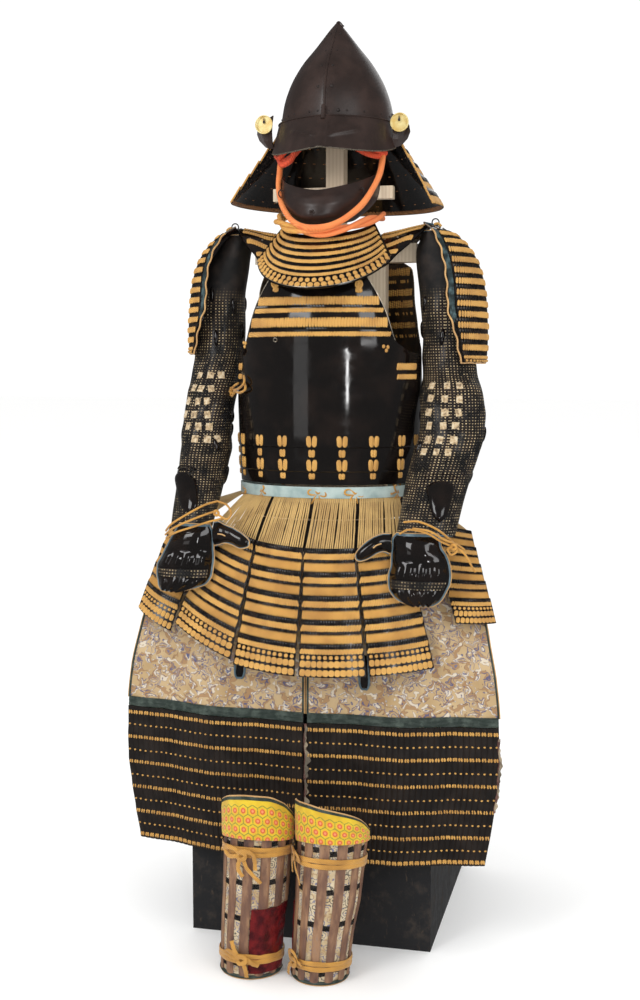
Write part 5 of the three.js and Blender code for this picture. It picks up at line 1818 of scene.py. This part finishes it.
def shoulder_guard(word, s):
    at = partial(shoulder_at, s)
    soup = Soup()
    wall(soup, at, spread(-1, 1, 36), spread(0, 1, 40), LACED - 0.6, -s, paint=(2, 3, 3))
    edges = shares(lambda v: at(0 * v, v), GUARD["top"], 0.995, GUARD["lames"])
    for k, (top, end) in enumerate(zip(edges[:-1], edges[1:])):
        first, last = (-0.87 if k < GUARD["lames"] - 4 else -0.93), 0.93

        def lift(u, v, top=top, end=end):
            return LACED + 0.4 + 1.8 * (v - top) / (end - top)

        skin = Skin(at, -s, lift)
        lame(soup, skin, spread(first - 0.02, last + 0.02, 26), top, end, 2.0, -s)
        split = lerp(top, end, 0.42)
        heads(soup, skin, first, last, top, split, GUARD["count"])
        if k == GUARD["lames"] - 1:
            stitches(soup, skin, first, last, split, lerp(split, end, 0.55), GUARD["count"], 2.2, 24)
            row(soup, TILE, skin, middles(first, last, 18), lerp(split, end, 0.82), (2.6, 2.2, 2.2))
        else:
            stitches(soup, skin, first, last, split, end, GUARD["count"], 2.4, 9)
    face = Skin(at, -s, LACED)
    patch(soup, face, spread(-0.985, -0.9, 5), spread(GUARD["top"], 0.8, 40), 1.2, -s, 4)
    patch(soup, face, spread(-0.98, 0.98, 40), spread(0.004, 0.03, 3), 1.4, -s, 5)
    row(soup, RIVET, face, CAP_RIVETS, 0.09, (2.4, 2.4, 1.6), paint=6)
    edge = border(face, (-1, 1), (GUARD["top"], 1), 240, -1.0, "lbr")
    wave = 1.3 * np.sin(np.arange(len(edge)) * 0.55)[:, None] * face.axes(0.0, 0.5)[2]
    cord(soup, edge + wave, 1.6, 6, 7)
    cord(soup, border(face, (-1, 1), (0, GUARD["top"]), 90, -0.6, "ral"), 1.5, 6, 6)
    ring = face.point(-0.3, 0.01, 5)
    cord(soup, loop_of(ring, 6.5, (0.96, 0.28, 0), (0, 0, 1)), 1.3, 6, 1, closed=True)
    toggle = [face.point(*place) for place in ((-0.5, 0.03, 1), (-0.48, 0.06, 5), (-0.46, 0.1, 3))]
    cord(soup, smooth_path(toggle, 9), 2.6, 7)
    make(f"laced_guard_{word}", soup, [LACE, PLATES, LACQUER, MAROON, TEAL, EDGING, STEEL, PIPING],
         [f"shoulder_guard_{word}"])


def strap(word, s):
    """Shoulder straps: lacquered leather with slanting bands of lacing and rows of rivets."""
    at = partial(strap_at, s)
    soup = Soup()
    wall(soup, at, spread(0, 1, 14), spread(0, STRAP.last, 60), 3, -s, paint=(1, 1, 1))
    skin = Skin(at, -s, 3)
    for start in np.arange(0.5, STRAP.last - 0.4, 0.62):
        us = middles(0.08, 0.92, 16)
        places = start + 0.16 * np.sin(us * 5.5)
        row(soup, PAD, skin, us, places, (3.1, 6.5, 2.2), 20)
        row(soup, RIVET, skin, (0.2, 0.5, 0.8), start + 0.33, (1.9, 1.9, 1.4), paint=2)
    edge = border(skin, (0, 1), (0, STRAP.last), 200, -1.2)[:-1]
    cord(soup, edge, 2.0, 6, 1, closed=True)
    make(f"strap_silk_{word}", soup, [LACE, LACQUER, STEEL], [f"shoulder_strap_{word}"])


# ---------------------------------------------------------------- sleeves and hand guards

# Angle, height, reach round, reach up and depth of the folds of the sleeves.
FOLDS = (
    (-20, 1150, 50, 16, 2.6), (40, 1090, 60, 14, 3.0), (-50, 1060, 50, 18, 2.4), (10, 1015, 70, 12, 2.6),
    (-30, 980, 60, 14, 2.2), (30, 930, 60, 14, 2.8), (-40, 890, 60, 12, 2.6), (20, 850, 60, 10, 2.0),
    (150, 1120, 60, 18, 3.0), (200, 1030, 60, 16, 3.2), (120, 960, 60, 16, 2.6), (220, 900, 60, 14, 3.0),
    (170, 830, 60, 12, 2.2), (90, 1180, 50, 20, 2.2), (270, 1000, 60, 22, 2.4),
)
# Splints sewn on the mail: angle, height and half length.
SPLINTS = (
    (6, 1186, 15), (30, 1143, 15), (-6, 1105, 17), (-48, 1165, 15), (62, 1190, 15), (70, 1110, 15),
    (-80, 1120, 16), (120, 1170, 16), (180, 1150, 16), (240, 1170, 16), (150, 1090, 16), (210, 1090, 16),
    (-62, 905, 13), (100, 930, 15), (140, 930, 15), (180, 930, 15), (220, 930, 15), (-100, 960, 14),
    (110, 850, 18), (150, 850, 18), (190, 850, 18), (230, 850, 18),
)
# Windows of silk in the mail, row by row: the height, and the angle of each window.
WINDOWS = {
    -1: (
        (1034, -16, 12, 38), (1008, -20, 0, 24), (984, -32, -2, 22), (961, -34, -4, 28), (939, -14, 14, 38),
        (917, 12, 40, 64),
    ),
    1: (
        (1014, -36, -4, 20), (991, -38, -8, 17), (968, -40, -10, 14), (945, -41, -13, 11), (921, -42, -15, 8),
        (898, -43, -18, 4),
    ),
}
# The gourd-shaped plate of each forearm: its heights, and its middle and half width at top and bottom.
GOURDS = {-1: (856, 786, -14, 18, 40, 24), 1: (850, 782, 4, 22, 33, 13)}


def sleeve(word, s):
    table = SLEEVES[s]
    at = partial(sleeve_at, s)

    def rise(angle, place):
        z = table.smooth(place)["z"]
        total = 0.8 * sine(angle * 3 + z * 1.7) + 0.6 * sine(angle * 5 - z * 2.3)
        for turn, height, round_reach, up_reach, depth in FOLDS:
            aside = (angle - turn * s + 180) % 360 - 180
            above = z + aside * 0.25 * s - height
            total = total + depth * np.exp(-((aside / round_reach) ** 2) - (above / up_reach) ** 2)
        return np.maximum(total, -0.5) * np.clip((place - 0.05) * 3, 0, 1)

    soup = Soup()
    wall(soup, at, np.arange(0, 360, 6), spread(0, table.last, 90), CLOTH, -1, True, (0, 1, 1), rise)
    skin = Skin(at, -1, lambda angle, place: CLOTH + rise(angle, place))
    for height, *angles in WINDOWS[s]:
        place = table.place_of("z", height)
        angles = np.array(angles, float) + RANDOM.uniform(-1.5, 1.5, len(angles))
        size = (6.4 + RANDOM.uniform(-0.8, 0.6, len(angles)), 7.4, 1.3)
        row(soup, TILE, skin, angles, place, size, RANDOM.uniform(-9, 9, len(angles)), paint=2)
    for turn, height, reach in SPLINTS:
        row(soup, DOME, skin, [turn * s], table.place_of("z", height), (4.8, reach, 4.2), 4 * s, paint=3)
    high, low, top_at, foot_at, top_half, foot_half = GOURDS[s]

    def gourd(u, v):
        half = lerp(top_half, foot_half, v ** 0.8) * (1.02 - np.abs(2 * v - 1) ** 5)
        place = table.place_of("z", lerp(high, low, v))
        return skin.point(lerp(top_at, foot_at, v) + u * half, place, -0.6)

    def swell(u, v):
        round_share, up_share = np.maximum(1 - u ** 2, 0), np.maximum(1 - (2 * v - 1) ** 4, 0)
        return 9 * np.sqrt(round_share) * np.sqrt(up_share) * (1 - 0.35 * v)

    wall(soup, gourd, spread(-1, 1, 26), spread(0, 1, 30), 1.6, -1, paint=(3, 3, 3), rise=swell)
    collar = spread(-0.9, 0.9, 9)
    for lift_up in (4.5, 10.5):
        places = table.place_of("z", high + lift_up - 7 * collar ** 2)
        row(soup, BEAD, skin, top_at + collar * top_half, places, (1.8, 1.8, 2.6), paint=3)
    top, cuff = (at(np.arange(0, 360, 5.0), np.full(72, place)) for place in (0.02, table.last - 0.03))
    cord(soup, top, 2.4, 6, 5, closed=True)
    cord(soup, top + (0, 0, 2.6), 1.3, 6, 6, closed=True)
    cord(soup, cuff, 2.4, 6, 5, closed=True)
    piece = make(f"mail_sleeve_{word}", soup, [MAIL, SLEEVE_CLOTH, WINDOW, LACQUER, LACE, EDGING, PIPING],
                 [f"sleeve_{word}"])


# The knuckles' places across a hand guard, and the height of their line on each.
KNUCKLES = (-0.66, -0.22, 0.22, 0.66)
KNUCKLE_LINE = {-1: 706, 1: 700}


def hand_guard(word, s):
    table = HANDS[s]
    line = KNUCKLE_LINE[s]
    at = partial(hand_at, s)

    def rise(u, place):
        z = table.smooth(place)["z"]
        total = 4.5 * np.exp(-((u / 0.62) ** 4) - ((z - line - 38) / 17) ** 4)
        for middle in KNUCKLES:
            near = ((u - middle) / 0.165) ** 2
            total = total + 5.5 * np.exp(-near - ((z - line) / 12.5) ** 4)
            total = total + 4.2 * np.exp(-near * 1.2) / (1 + np.exp((z - line + 33) / 2.5))
        return total * np.clip((1 - np.abs(u)) * 12, 0, 1)

    soup = Soup()
    wall(soup, at, spread(-1, 1, 64), spread(0, table.last, 64), CLOTH, -1, False, (0, 1, 1), rise)
    skin = Skin(at, -1, lambda u, v: CLOTH + rise(u, v))
    strip = [float(table.place_of("z", z)) for z in (line - 15, line - 29)]
    patch(soup, skin, spread(-0.9, 0.9, 50), spread(*strip, 6), 1.6, -1, 2, sink=0.5)
    plain = Skin(at, -1, CLOTH / 2)
    rim = border(plain, (-1, 1), (0, table.last), 200, 0)[:-1]
    cord(soup, rim, 3.0, 8, 3, closed=True)
    grow = 1 + 3.2 / np.linalg.norm(rim - rim.mean(0), axis=-1, keepdims=True)
    cord(soup, rim.mean(0) + (rim - rim.mean(0)) * grow, 1.0, 5, 4, closed=True)

    thumb = Skin(partial(thumb_at, s), s, CLOTH / 2)
    last = THUMBS[s].last
    wall(soup, thumb.at, spread(0, last, 40), spread(0, 1, 18), CLOTH, s, False, (0, 1, 1),
         lambda u, v: 2.5 * np.sin(np.pi * v) * np.sin(np.pi * np.clip(u / last, 0, 1)))
    rim = border(thumb, (0.3, last), (0, 1), 110, 0, "bra")
    cord(soup, rim, 2.6, 8, 3)
    cord(soup, rim + (0, -2.2, 0) + unit(rim - rim.mean(0)) * 2.2, 0.9, 5, 4)
    stitch = [thumb.point(1.2, 0.5, 3), thumb.point(1.9, 0.5, 4.5), thumb.point(2.4, 0.55, 3.4)]
    cord(soup, smooth_path(stitch, 8), 1.2, 6, 4)
    make(f"lacquered_hand_{word}", soup, [LACQUER, MAROON, MAIL, EDGING, PIPING],
         [f"hand_guard_{word}", f"thumb_guard_{word}"])


# Cords that tie the hand guards to the wrists: the route of each strand, in mm.
HAND_CORDS = {
    "right": (
        ((172, -262, 764), (190, -272, 773), (222, -276, 768), (248, -268, 752), (266, -254, 743)),
        ((178, -256, 784), (205, -262, 786), (236, -262, 774), (256, -256, 758), (268, -252, 746)),
        ((262, -254, 748), (272, -262, 738), (262, -264, 731), (256, -262, 740), (266, -258, 746)),
        ((196, -270, 775), (226, -277, 772), (250, -272, 758), (270, -256, 748), (282, -246, 738)),
    ),
    "left": (
        ((-255, -262, 757), (-240, -274, 771), (-212, -280, 788), (-180, -268, 806), (-160, -252, 812)),
        ((-256, -262, 750), (-236, -276, 764), (-206, -281, 778), (-176, -272, 790), (-158, -258, 796)),
        ((-254, -264, 744), (-230, -278, 757), (-200, -280, 767), (-170, -272, 777), (-146, -264, 783)),
        ((-160, -254, 812), (-142, -256, 806), (-132, -262, 792), (-138, -268, 782), (-156, -268, 790)),
    ),
}
HAND_KNOT = ((-4, -2, 3), (1, -5, 4), (4, -4, 0), (1, -5, -4), (-4, -2, -2), (-3, -5, 2))
HAND_TAIL = ((268, -256, 744), (280, -256, 736), (290, -258, 724), (297, -262, 712), (304, -262, 702))


def hand_cords():
    for word, strands in HAND_CORDS.items():
        soup = Soup()
        for strand in strands:
            cord(soup, smooth_path(strand, 26), 1.9, 7)
        middle = np.array((266, -258, 744) if word == "right" else (-158, -262, 792), float)
        cord(soup, smooth_path([middle + part for part in HAND_KNOT], 16), 2.6, 8)
        make(f"hand_cord_{word}", soup, [MUSTARD])
    soup = Soup()
    path = smooth_path(HAND_TAIL, 20)
    cord(soup, path, 1.9, 7)
    make("hand_cord_tail", soup, [MUSTARD])


# ---------------------------------------------------------------- thigh apron

# Heights of the rows of lacing on the plates: pairs of big stitches, and single small ones between them.
BIG_ROWS = (406, 359, 311, 263, 215, 169.5)
SMALL_ROWS = (382, 333.5, 285, 238, 191)
RIBS = 33
# Creases of the brocade: place across, lean, width and depth.
CREASES = (
    (0.1, 0.02, 0.02, 2.2), (0.27, -0.03, 0.03, 3.0), (0.43, 0.04, 0.022, 2.4), (0.6, 0.03, 0.035, 3.2),
    (0.74, -0.02, 0.024, 2.2), (0.9, 0.03, 0.03, 3.0),
)
# The piped edges of each panel: place across, top and foot.
PIPED_EDGES = ((0.0, 560, 433), (1.0, 700, 433))
# The slit in each panel, its place across and its height, and the outline of its binding round that place.
SLITS = {-1: (0.36, 520), 1: (0.31, 512)}
BINDING = ((-0.027, 30), (-0.027, -16), (-0.014, -30), (0.014, -30), (0.027, -16), (0.027, 30))
LEATHER_BAND = {"top": 435, "bottom": 417.6}
# Lining pulled out at the edges of the plates: side, place across, top, foot, distance from the edge, width.
LININGS = ((-1, 0.0, 416, 258, -5.0, 9), (1, 1.0, 398, 262, 0.5, 5))


def panel_at(s, u, v):
    """A panel of the apron, by a place across and one that grows downward."""
    return apron_at(s, u, -v)


def creases(u, v):
    """Soft, uneven creases that run down from under the tassets."""
    z = -v
    low = np.clip((620 - z) / 120, 0, 1) * np.clip((z - 425) / 20, 0, 1)
    total = 0
    for middle, lean, width, depth in CREASES:
        place = middle + lean * np.sin((z - 430) / 60)
        total = total + depth * np.exp(-((u - place) / width) ** 2)
    return total * low


def apron_silk(word, s):
    at = partial(panel_at, s)
    soup = Soup()
    heights = spread(-APRON["top"], -APRON["hem"], 84)
    wall(soup, at, spread(0, 1, 80), heights, CLOTH, -s, False, (0, 1, 1), creases)
    skin = Skin(at, -s, CLOTH)
    for u, start, stop in PIPED_EDGES:
        path = run(skin, (u, -start), (u, -stop), 60, -1)
        cord(soup, path, 2.6, 7, 2)
        cord(soup, path + (s * (-2.2 if u == 0 else 2.2), -1, 0), 1.1, 5, 3)
    slit, z = SLITS[s]
    # A black lacquer patch inside each slit's binding stands for the dark opening: painted shade.
    patch(soup, skin, spread(slit - 0.02, slit + 0.02, 6), spread(-z - 30, -z + 28, 12), 1.0, -s, 4)
    line = smooth_path([(slit + aside, -(z + up), 0) for aside, up in BINDING], 40)
    cord(soup, skin.point(line[:, 0], line[:, 1], 1.2), 2.0, 7, 5)
    piece = make(f"apron_silk_{word}", soup,
                 [BROCADE, SLEEVE_CLOTH, GREEN_LEATHER, PIPING, LACQUER, EDGING],
                 [f"thigh_apron_cloth_{word}"])


def apron_plates(word, s):
    at = partial(panel_at, s)
    soup = Soup()
    ground = Skin(at, -s, CLOTH + SEAM)
    tops = spread(-APRON["plates"], -APRON["hem"] - 51, 5)
    rows = [[top, top + 0.7, top + 19, top + 38] for top in tops] + [[-APRON["hem"]]]
    rows = np.sort(np.concatenate(rows))

    def ribs(u, v):
        step = np.maximum(0, 1 - np.abs((v - tops[0]) % (tops[1] - tops[0])) / 40) * STEP * 0.8
        rib = 1.5 * np.sqrt(np.abs(np.sin(np.pi * u * RIBS)))
        return step + rib

    across = spread(0, 1, RIBS * 6 + 1)
    wall(soup, ground.point, across, rows, LACED - 0.8, -s, False, (1, 1, 1), ribs)
    face = Skin(at, -s, CLOTH + SEAM + LACED + 1.3)
    us = middles(0, 1, RIBS)
    for z in BIG_ROWS:
        vary = RANDOM.uniform(-0.35, 0.35, (2, len(us)))
        size = (2.15 + vary[0] * 0.5, 4.0, 2.5)
        for shift in (-1, 1):
            lean = vary[1] * 14 - shift * 6
            row(soup, PAD, face, us + shift * 0.0055, -z + 0.4 * np.sin(us * 40), size, lean, 0.6)
    for z in SMALL_ROWS:
        places = -z + RANDOM.uniform(-0.5, 0.5, len(us))
        row(soup, GRAIN, face, us + 0.003, places, (2.3, 1.8, 2.2), paint=0, sink=0.7)
    make(f"apron_plates_{word}", soup, [LACE, RIBBED], [f"thigh_apron_plates_{word}"])


def apron_band(word, s):
    """The leather band across the top of a panel's plates."""
    soup = Soup()
    ground = Skin(partial(panel_at, s), -s, CLOTH + SEAM)

    def scuffs(u, v):
        return 0.7 + 0.5 * np.sin(v * 0.9 + 3 * np.sin(u * 17)) + 0.3 * np.sin(u * 61)

    heights = spread(-LEATHER_BAND["top"], -LEATHER_BAND["bottom"], 8)
    wall(soup, ground.point, spread(0, 1, 120), heights, 1.4, -s, rise=scuffs)
    piece = make(f"apron_leather_{word}", soup, [GREEN_LEATHER],
                 [f"thigh_apron_band_{word}"])


def apron_linings():
    """The torn lining at the inner and outer edges of the plates."""
    soup = Soup()
    for s, u, start, stop, aside, wide in LININGS:
        z = spread(start, stop, 70)
        front = apron_at(s, np.full(70, u), z)
        path = front + xyz(s * aside + 0.7 * np.sin(z / 9.0), -6.8 + 0.6 * np.cos(z / 5.3), 0)
        cord(soup, path, 2.3, 8, 1, flat=0.5, up=(0, -1, 0), taper=1 + 0.16 * np.sin(z / 4.1))
        ragged = 0.5 + 0.3 * np.sin(z / 4.6) + 0.25 * np.sin(z / 2.3 + 1) + 0.3 * np.sin(z / 13.0)
        ends = np.clip((z - stop) / 14, 0, 1) * np.clip((start - z) / 14, 0, 1)
        ragged = wide * np.clip(ragged, 0.08, 1.2) * ends

        def flap(u, v, path=path, ragged=ragged, z=z):
            at = np.interp(-v, z[::-1], np.arange(len(z))[::-1])
            base = np.stack([np.interp(at, np.arange(len(z)), path[:, k]) for k in range(3)], -1)
            reach = np.interp(at, np.arange(len(z)), ragged)
            return base + xyz(u * reach + 0.4 * u, -1.8 * np.sin(u * np.pi) * np.sin(v / 5.0) - 0.6, 0)

        wall(soup, flap, spread(0, 1, 7), -z, 1.0, -1)
    make("apron_lining_edges", soup, [OLD_LINING, BROWN_LINING])


# ---------------------------------------------------------------- shin guards

SHIN_TURNS = (-90, -60, -30, 0, 30, 60, 90)
SPOT_HEIGHTS = (236, 168, 104, 22)
# The red leather on each shin guard: its first and last angle, its top and its foot.
RED_PATCHES = {-1: (10, 88, 128, 12), 1: (-96, -68, 128, 8)}
SHIN_TIES = {"upper": {"left": 221, "right": 210, "rise": 9}, "lower": {"left": 32, "right": 30, "rise": 6}}
# How the tapes run at each knot of the shin guards: places right of it, above it and out from it, in mm.
SHIN_KNOTS = {
    "left_upper": {
        "at": (-68, 226),
        "loops": (
            ((0, 0, 2), (-8, 8, 6), (-22, 10, 7), (-31, 1, 5), (-22, -6, 5), (-8, -3, 6), (0, 0, 3)),
            ((-3, 2, 4), (0, 8, 8), (8, 9, 9), (17, 3, 8), (20, -10, 6), (21, -25, 4)),
            ((0, -4, 5), (-3, -14, 7), (-4, -26, 5), (3, -38, 4)),
        ),
        "ends": (
            ((3, -6, 6), (10, -22, 7), (20, -36, 5), (30, -49, 4)),
        ),
    },
    "left_lower": {
        "at": (-72, 40),
        "loops": (
            ((0, 0, 3), (-8, 8, 7), (-20, 12, 7), (-24, 8, 5), (-16, 2, 5), (-2, -2, 4)),
            ((2, 3, 4), (10, 0, 7), (16, -7, 6), (25, -12, 4)),
            ((-2, 3, 5), (-8, 12, 7), (-12, 20, 6), (-16, 30, 4)),
            ((2, -4, 6), (5, -12, 7), (7, -22, 5), (8, -32, 4)),
        ),
        "ends": (),
    },
    "right_upper": {
        "at": (24, 222),
        "loops": (
            ((0, 0, 2), (-9, 8, 6), (-20, 4, 7), (-22, -6, 6), (-11, -11, 6), (-2, -5, 4)),
            ((1, 2, 4), (8, 7, 8), (14, 3, 7), (16, -4, 5), (8, -4, 5), (1, -2, 5)),
            ((-3, -5, 5), (-9, -13, 6), (-11, -24, 5), (-10, -35, 4)),
        ),
        "ends": (
            ((2, -6, 6), (10, -20, 7), (16, -34, 5), (19, -47, 4)),
        ),
    },
    "right_lower": {
        "at": (24, 38),
        "loops": (
            ((0, 0, 3), (6, 10, 7), (-2, 18, 8), (-11, 14, 7), (-14, 4, 5), (-8, -4, 4)),
            ((2, 2, 5), (10, 3, 7), (15, -3, 5)),
            ((-3, -3, 5), (-10, -10, 6), (-16, -21, 5), (-20, -32, 4)),
        ),
        "ends": (),
    },
}
KNOT = ((-6, -4, 5), (-1, -7, 8), (6, -3, 9), (6, 4, 9), (-2, 6, 8), (-6, 1, 6))


def splinted_shin(word, s):
    def at(turn, v):
        return shin_at(s, turn, -v)

    soup = Soup()
    turns = spread(-SHIN_SPAN, SHIN_SPAN, 70)
    wall(soup, at, turns, spread(-SHIN_TOP, 0, 24), LACED - 0.8, -1, paint=(1, 2, 2))
    skin = Skin(at, -1, LACED - 0.8)
    for turn in SHIN_TURNS:
        def ridge(u, v, turn=turn):
            return 2.0 * np.sqrt(np.maximum(1 - ((u - turn) / 9) ** 2, 0))

        heights = spread(2 - SHIN_TOP, -4, 24)
        patch(soup, skin, spread(turn - 8.5, turn + 8.5, 9), heights, 1.4, -1, 0, ridge)
        for z in SPOT_HEIGHTS:
            height = z + (turn % 60) * 0.18
            if abs(turn + 15) < SHIN_SPAN - 8:
                lean = RANDOM.uniform(-8, 8)
                row(soup, TILE, skin, [turn + 15], -height, (6.2, 5.0, 1.2), lean, paint=3)
                grains = turn + 15 + RANDOM.uniform(-4.5, 4.5, 8)
                places = -height + RANDOM.uniform(-4, 4, 8)
                row(soup, GRAIN, skin, grains, places, (1.3, 1.3, 1.9), paint=4)

    def pleats(u, v):
        return 1.2 + np.abs(cosine(u * 6)) + 0.5 * np.sin(v / 5.0 + u / 7.0)

    first, last, high, low = RED_PATCHES[s]
    patch(soup, skin, spread(first, last, 34), spread(-high, -low, 40), 2.4, -1, 5, pleats, 0.3)
    hem = run(skin, (-SHIN_SPAN, -5), (SHIN_SPAN, -5), 80, 0.6)
    cord(soup, hem, 3.0, 7, 6)
    cord(soup, hem - (0, 0, 3.4), 1.3, 6, 7)
    make(f"splinted_shin_{word}", soup,
         [SPLINT, STRIP, SLEEVE_CLOTH, MAIL, LACQUER, RED_LEATHER, GREEN_LEATHER, PIPING],
         [f"shin_guard_{word}"])


def knee_piece(word, s):
    soup = Soup()
    knee = partial(knee_at, s)
    wall(soup, knee, spread(-KNEE_SPAN, KNEE_SPAN, 60), spread(0, 1, 30), 3.4, -1, False, (0, 1, 1),
         lambda u, v: 1.6 * np.sin(np.pi * v) ** 0.5 + 0.4 * np.sin(u / 6.0) * np.sin(v * 9))
    face = Skin(knee, -1, 2.2)
    brim = spread(-KNEE_SPAN, KNEE_SPAN, 80)
    patch(soup, face, brim, spread(0.0, 0.075, 4), 3.0, -1, 2, sink=0.2)
    cord(soup, run(face, (-KNEE_SPAN, -0.012), (KNEE_SPAN, -0.012), 90, 1.0), 1.5, 6, 3)
    piece = make(f"knee_silk_{word}", soup, [KNEE, SLEEVE_CLOTH, GREEN_LEATHER, PIPING],
                 [f"knee_piece_{word}"])


def shin_ties(word, s):
    for level, tie in SHIN_TIES.items():
        soup = Soup()
        turns = np.arange(0, 360, 5.0)
        outward = xyz(sine(turns), -cosine(turns), 0)
        for shift in (-4.3, 4.3):
            drift = 0.7 * sine(turns * 3 + 20 * shift)
            height = tie[word] + tie["rise"] * cosine(turns) + shift + drift
            tape(soup, shin_at(s, turns, height, LACED + 3.6), outward, 4.3, closed=True)
        knot = SHIN_KNOTS[f"{word}_{level}"]
        middle = SHINS[s].smooth(SHINS[s].place_of("z", knot["at"][1]))
        turn = math.degrees(math.asin((knot["at"][0] - middle["x"]) / middle["half"]))
        outward = (sine(turn), -cosine(turn), 0)

        def route(places, turn=turn, knot=knot, half=middle["half"]):
            right, up, out = np.array(places, float).T
            return shin_at(s, turn + np.degrees(right / half), knot["at"][1] + up, LACED + 4 + out)

        for places in knot["loops"] + (KNOT,):
            tape(soup, route(places), outward, 3.8)
        make(f"shin_tape_{word}_{level}", soup, [MUSTARD], [f"shin_tie_{level}_{word}"])
        for places in knot["ends"]:
            soup = Soup()
            path = tape(soup, route(places), outward, 3.8, 20)
            piece = make(f"shin_tape_end_{word}_{level}", soup, [MUSTARD])


# ---------------------------------------------------------------- the nodes that keep their own shape

GIVEN = {"armour_box": BOX_PAINT, "stand": WOOD, "helmet_wing": IRON, "helmet_disc": GILT}


def refinish():
    """Gives the nodes that keep their own shape their material."""
    for name, node in frame["nodes"].items():
        node = node if hasattr(node, "material_slots") else bpy.data.objects[name]
        for start, material in GIVEN.items():
            if name.startswith(start):
                node.data.materials.clear()
                node.data.materials.append(material)


studio()
helmet_bowl()
helmet_visor()
disc_marks()
neck_guard()
mask()
helmet_cords()
throat_bib()
cuirass()
side_tie()
both(shoulder_guard)
both(strap)
both(sleeve)
both(hand_guard)
hand_cords()
both(apron_silk, apron_plates)
both(apron_band)
apron_linings()
both(splinted_shin, knee_piece, shin_ties)
tassets()
suspension()
belt()
waistband()
belt_bows()
refinish()
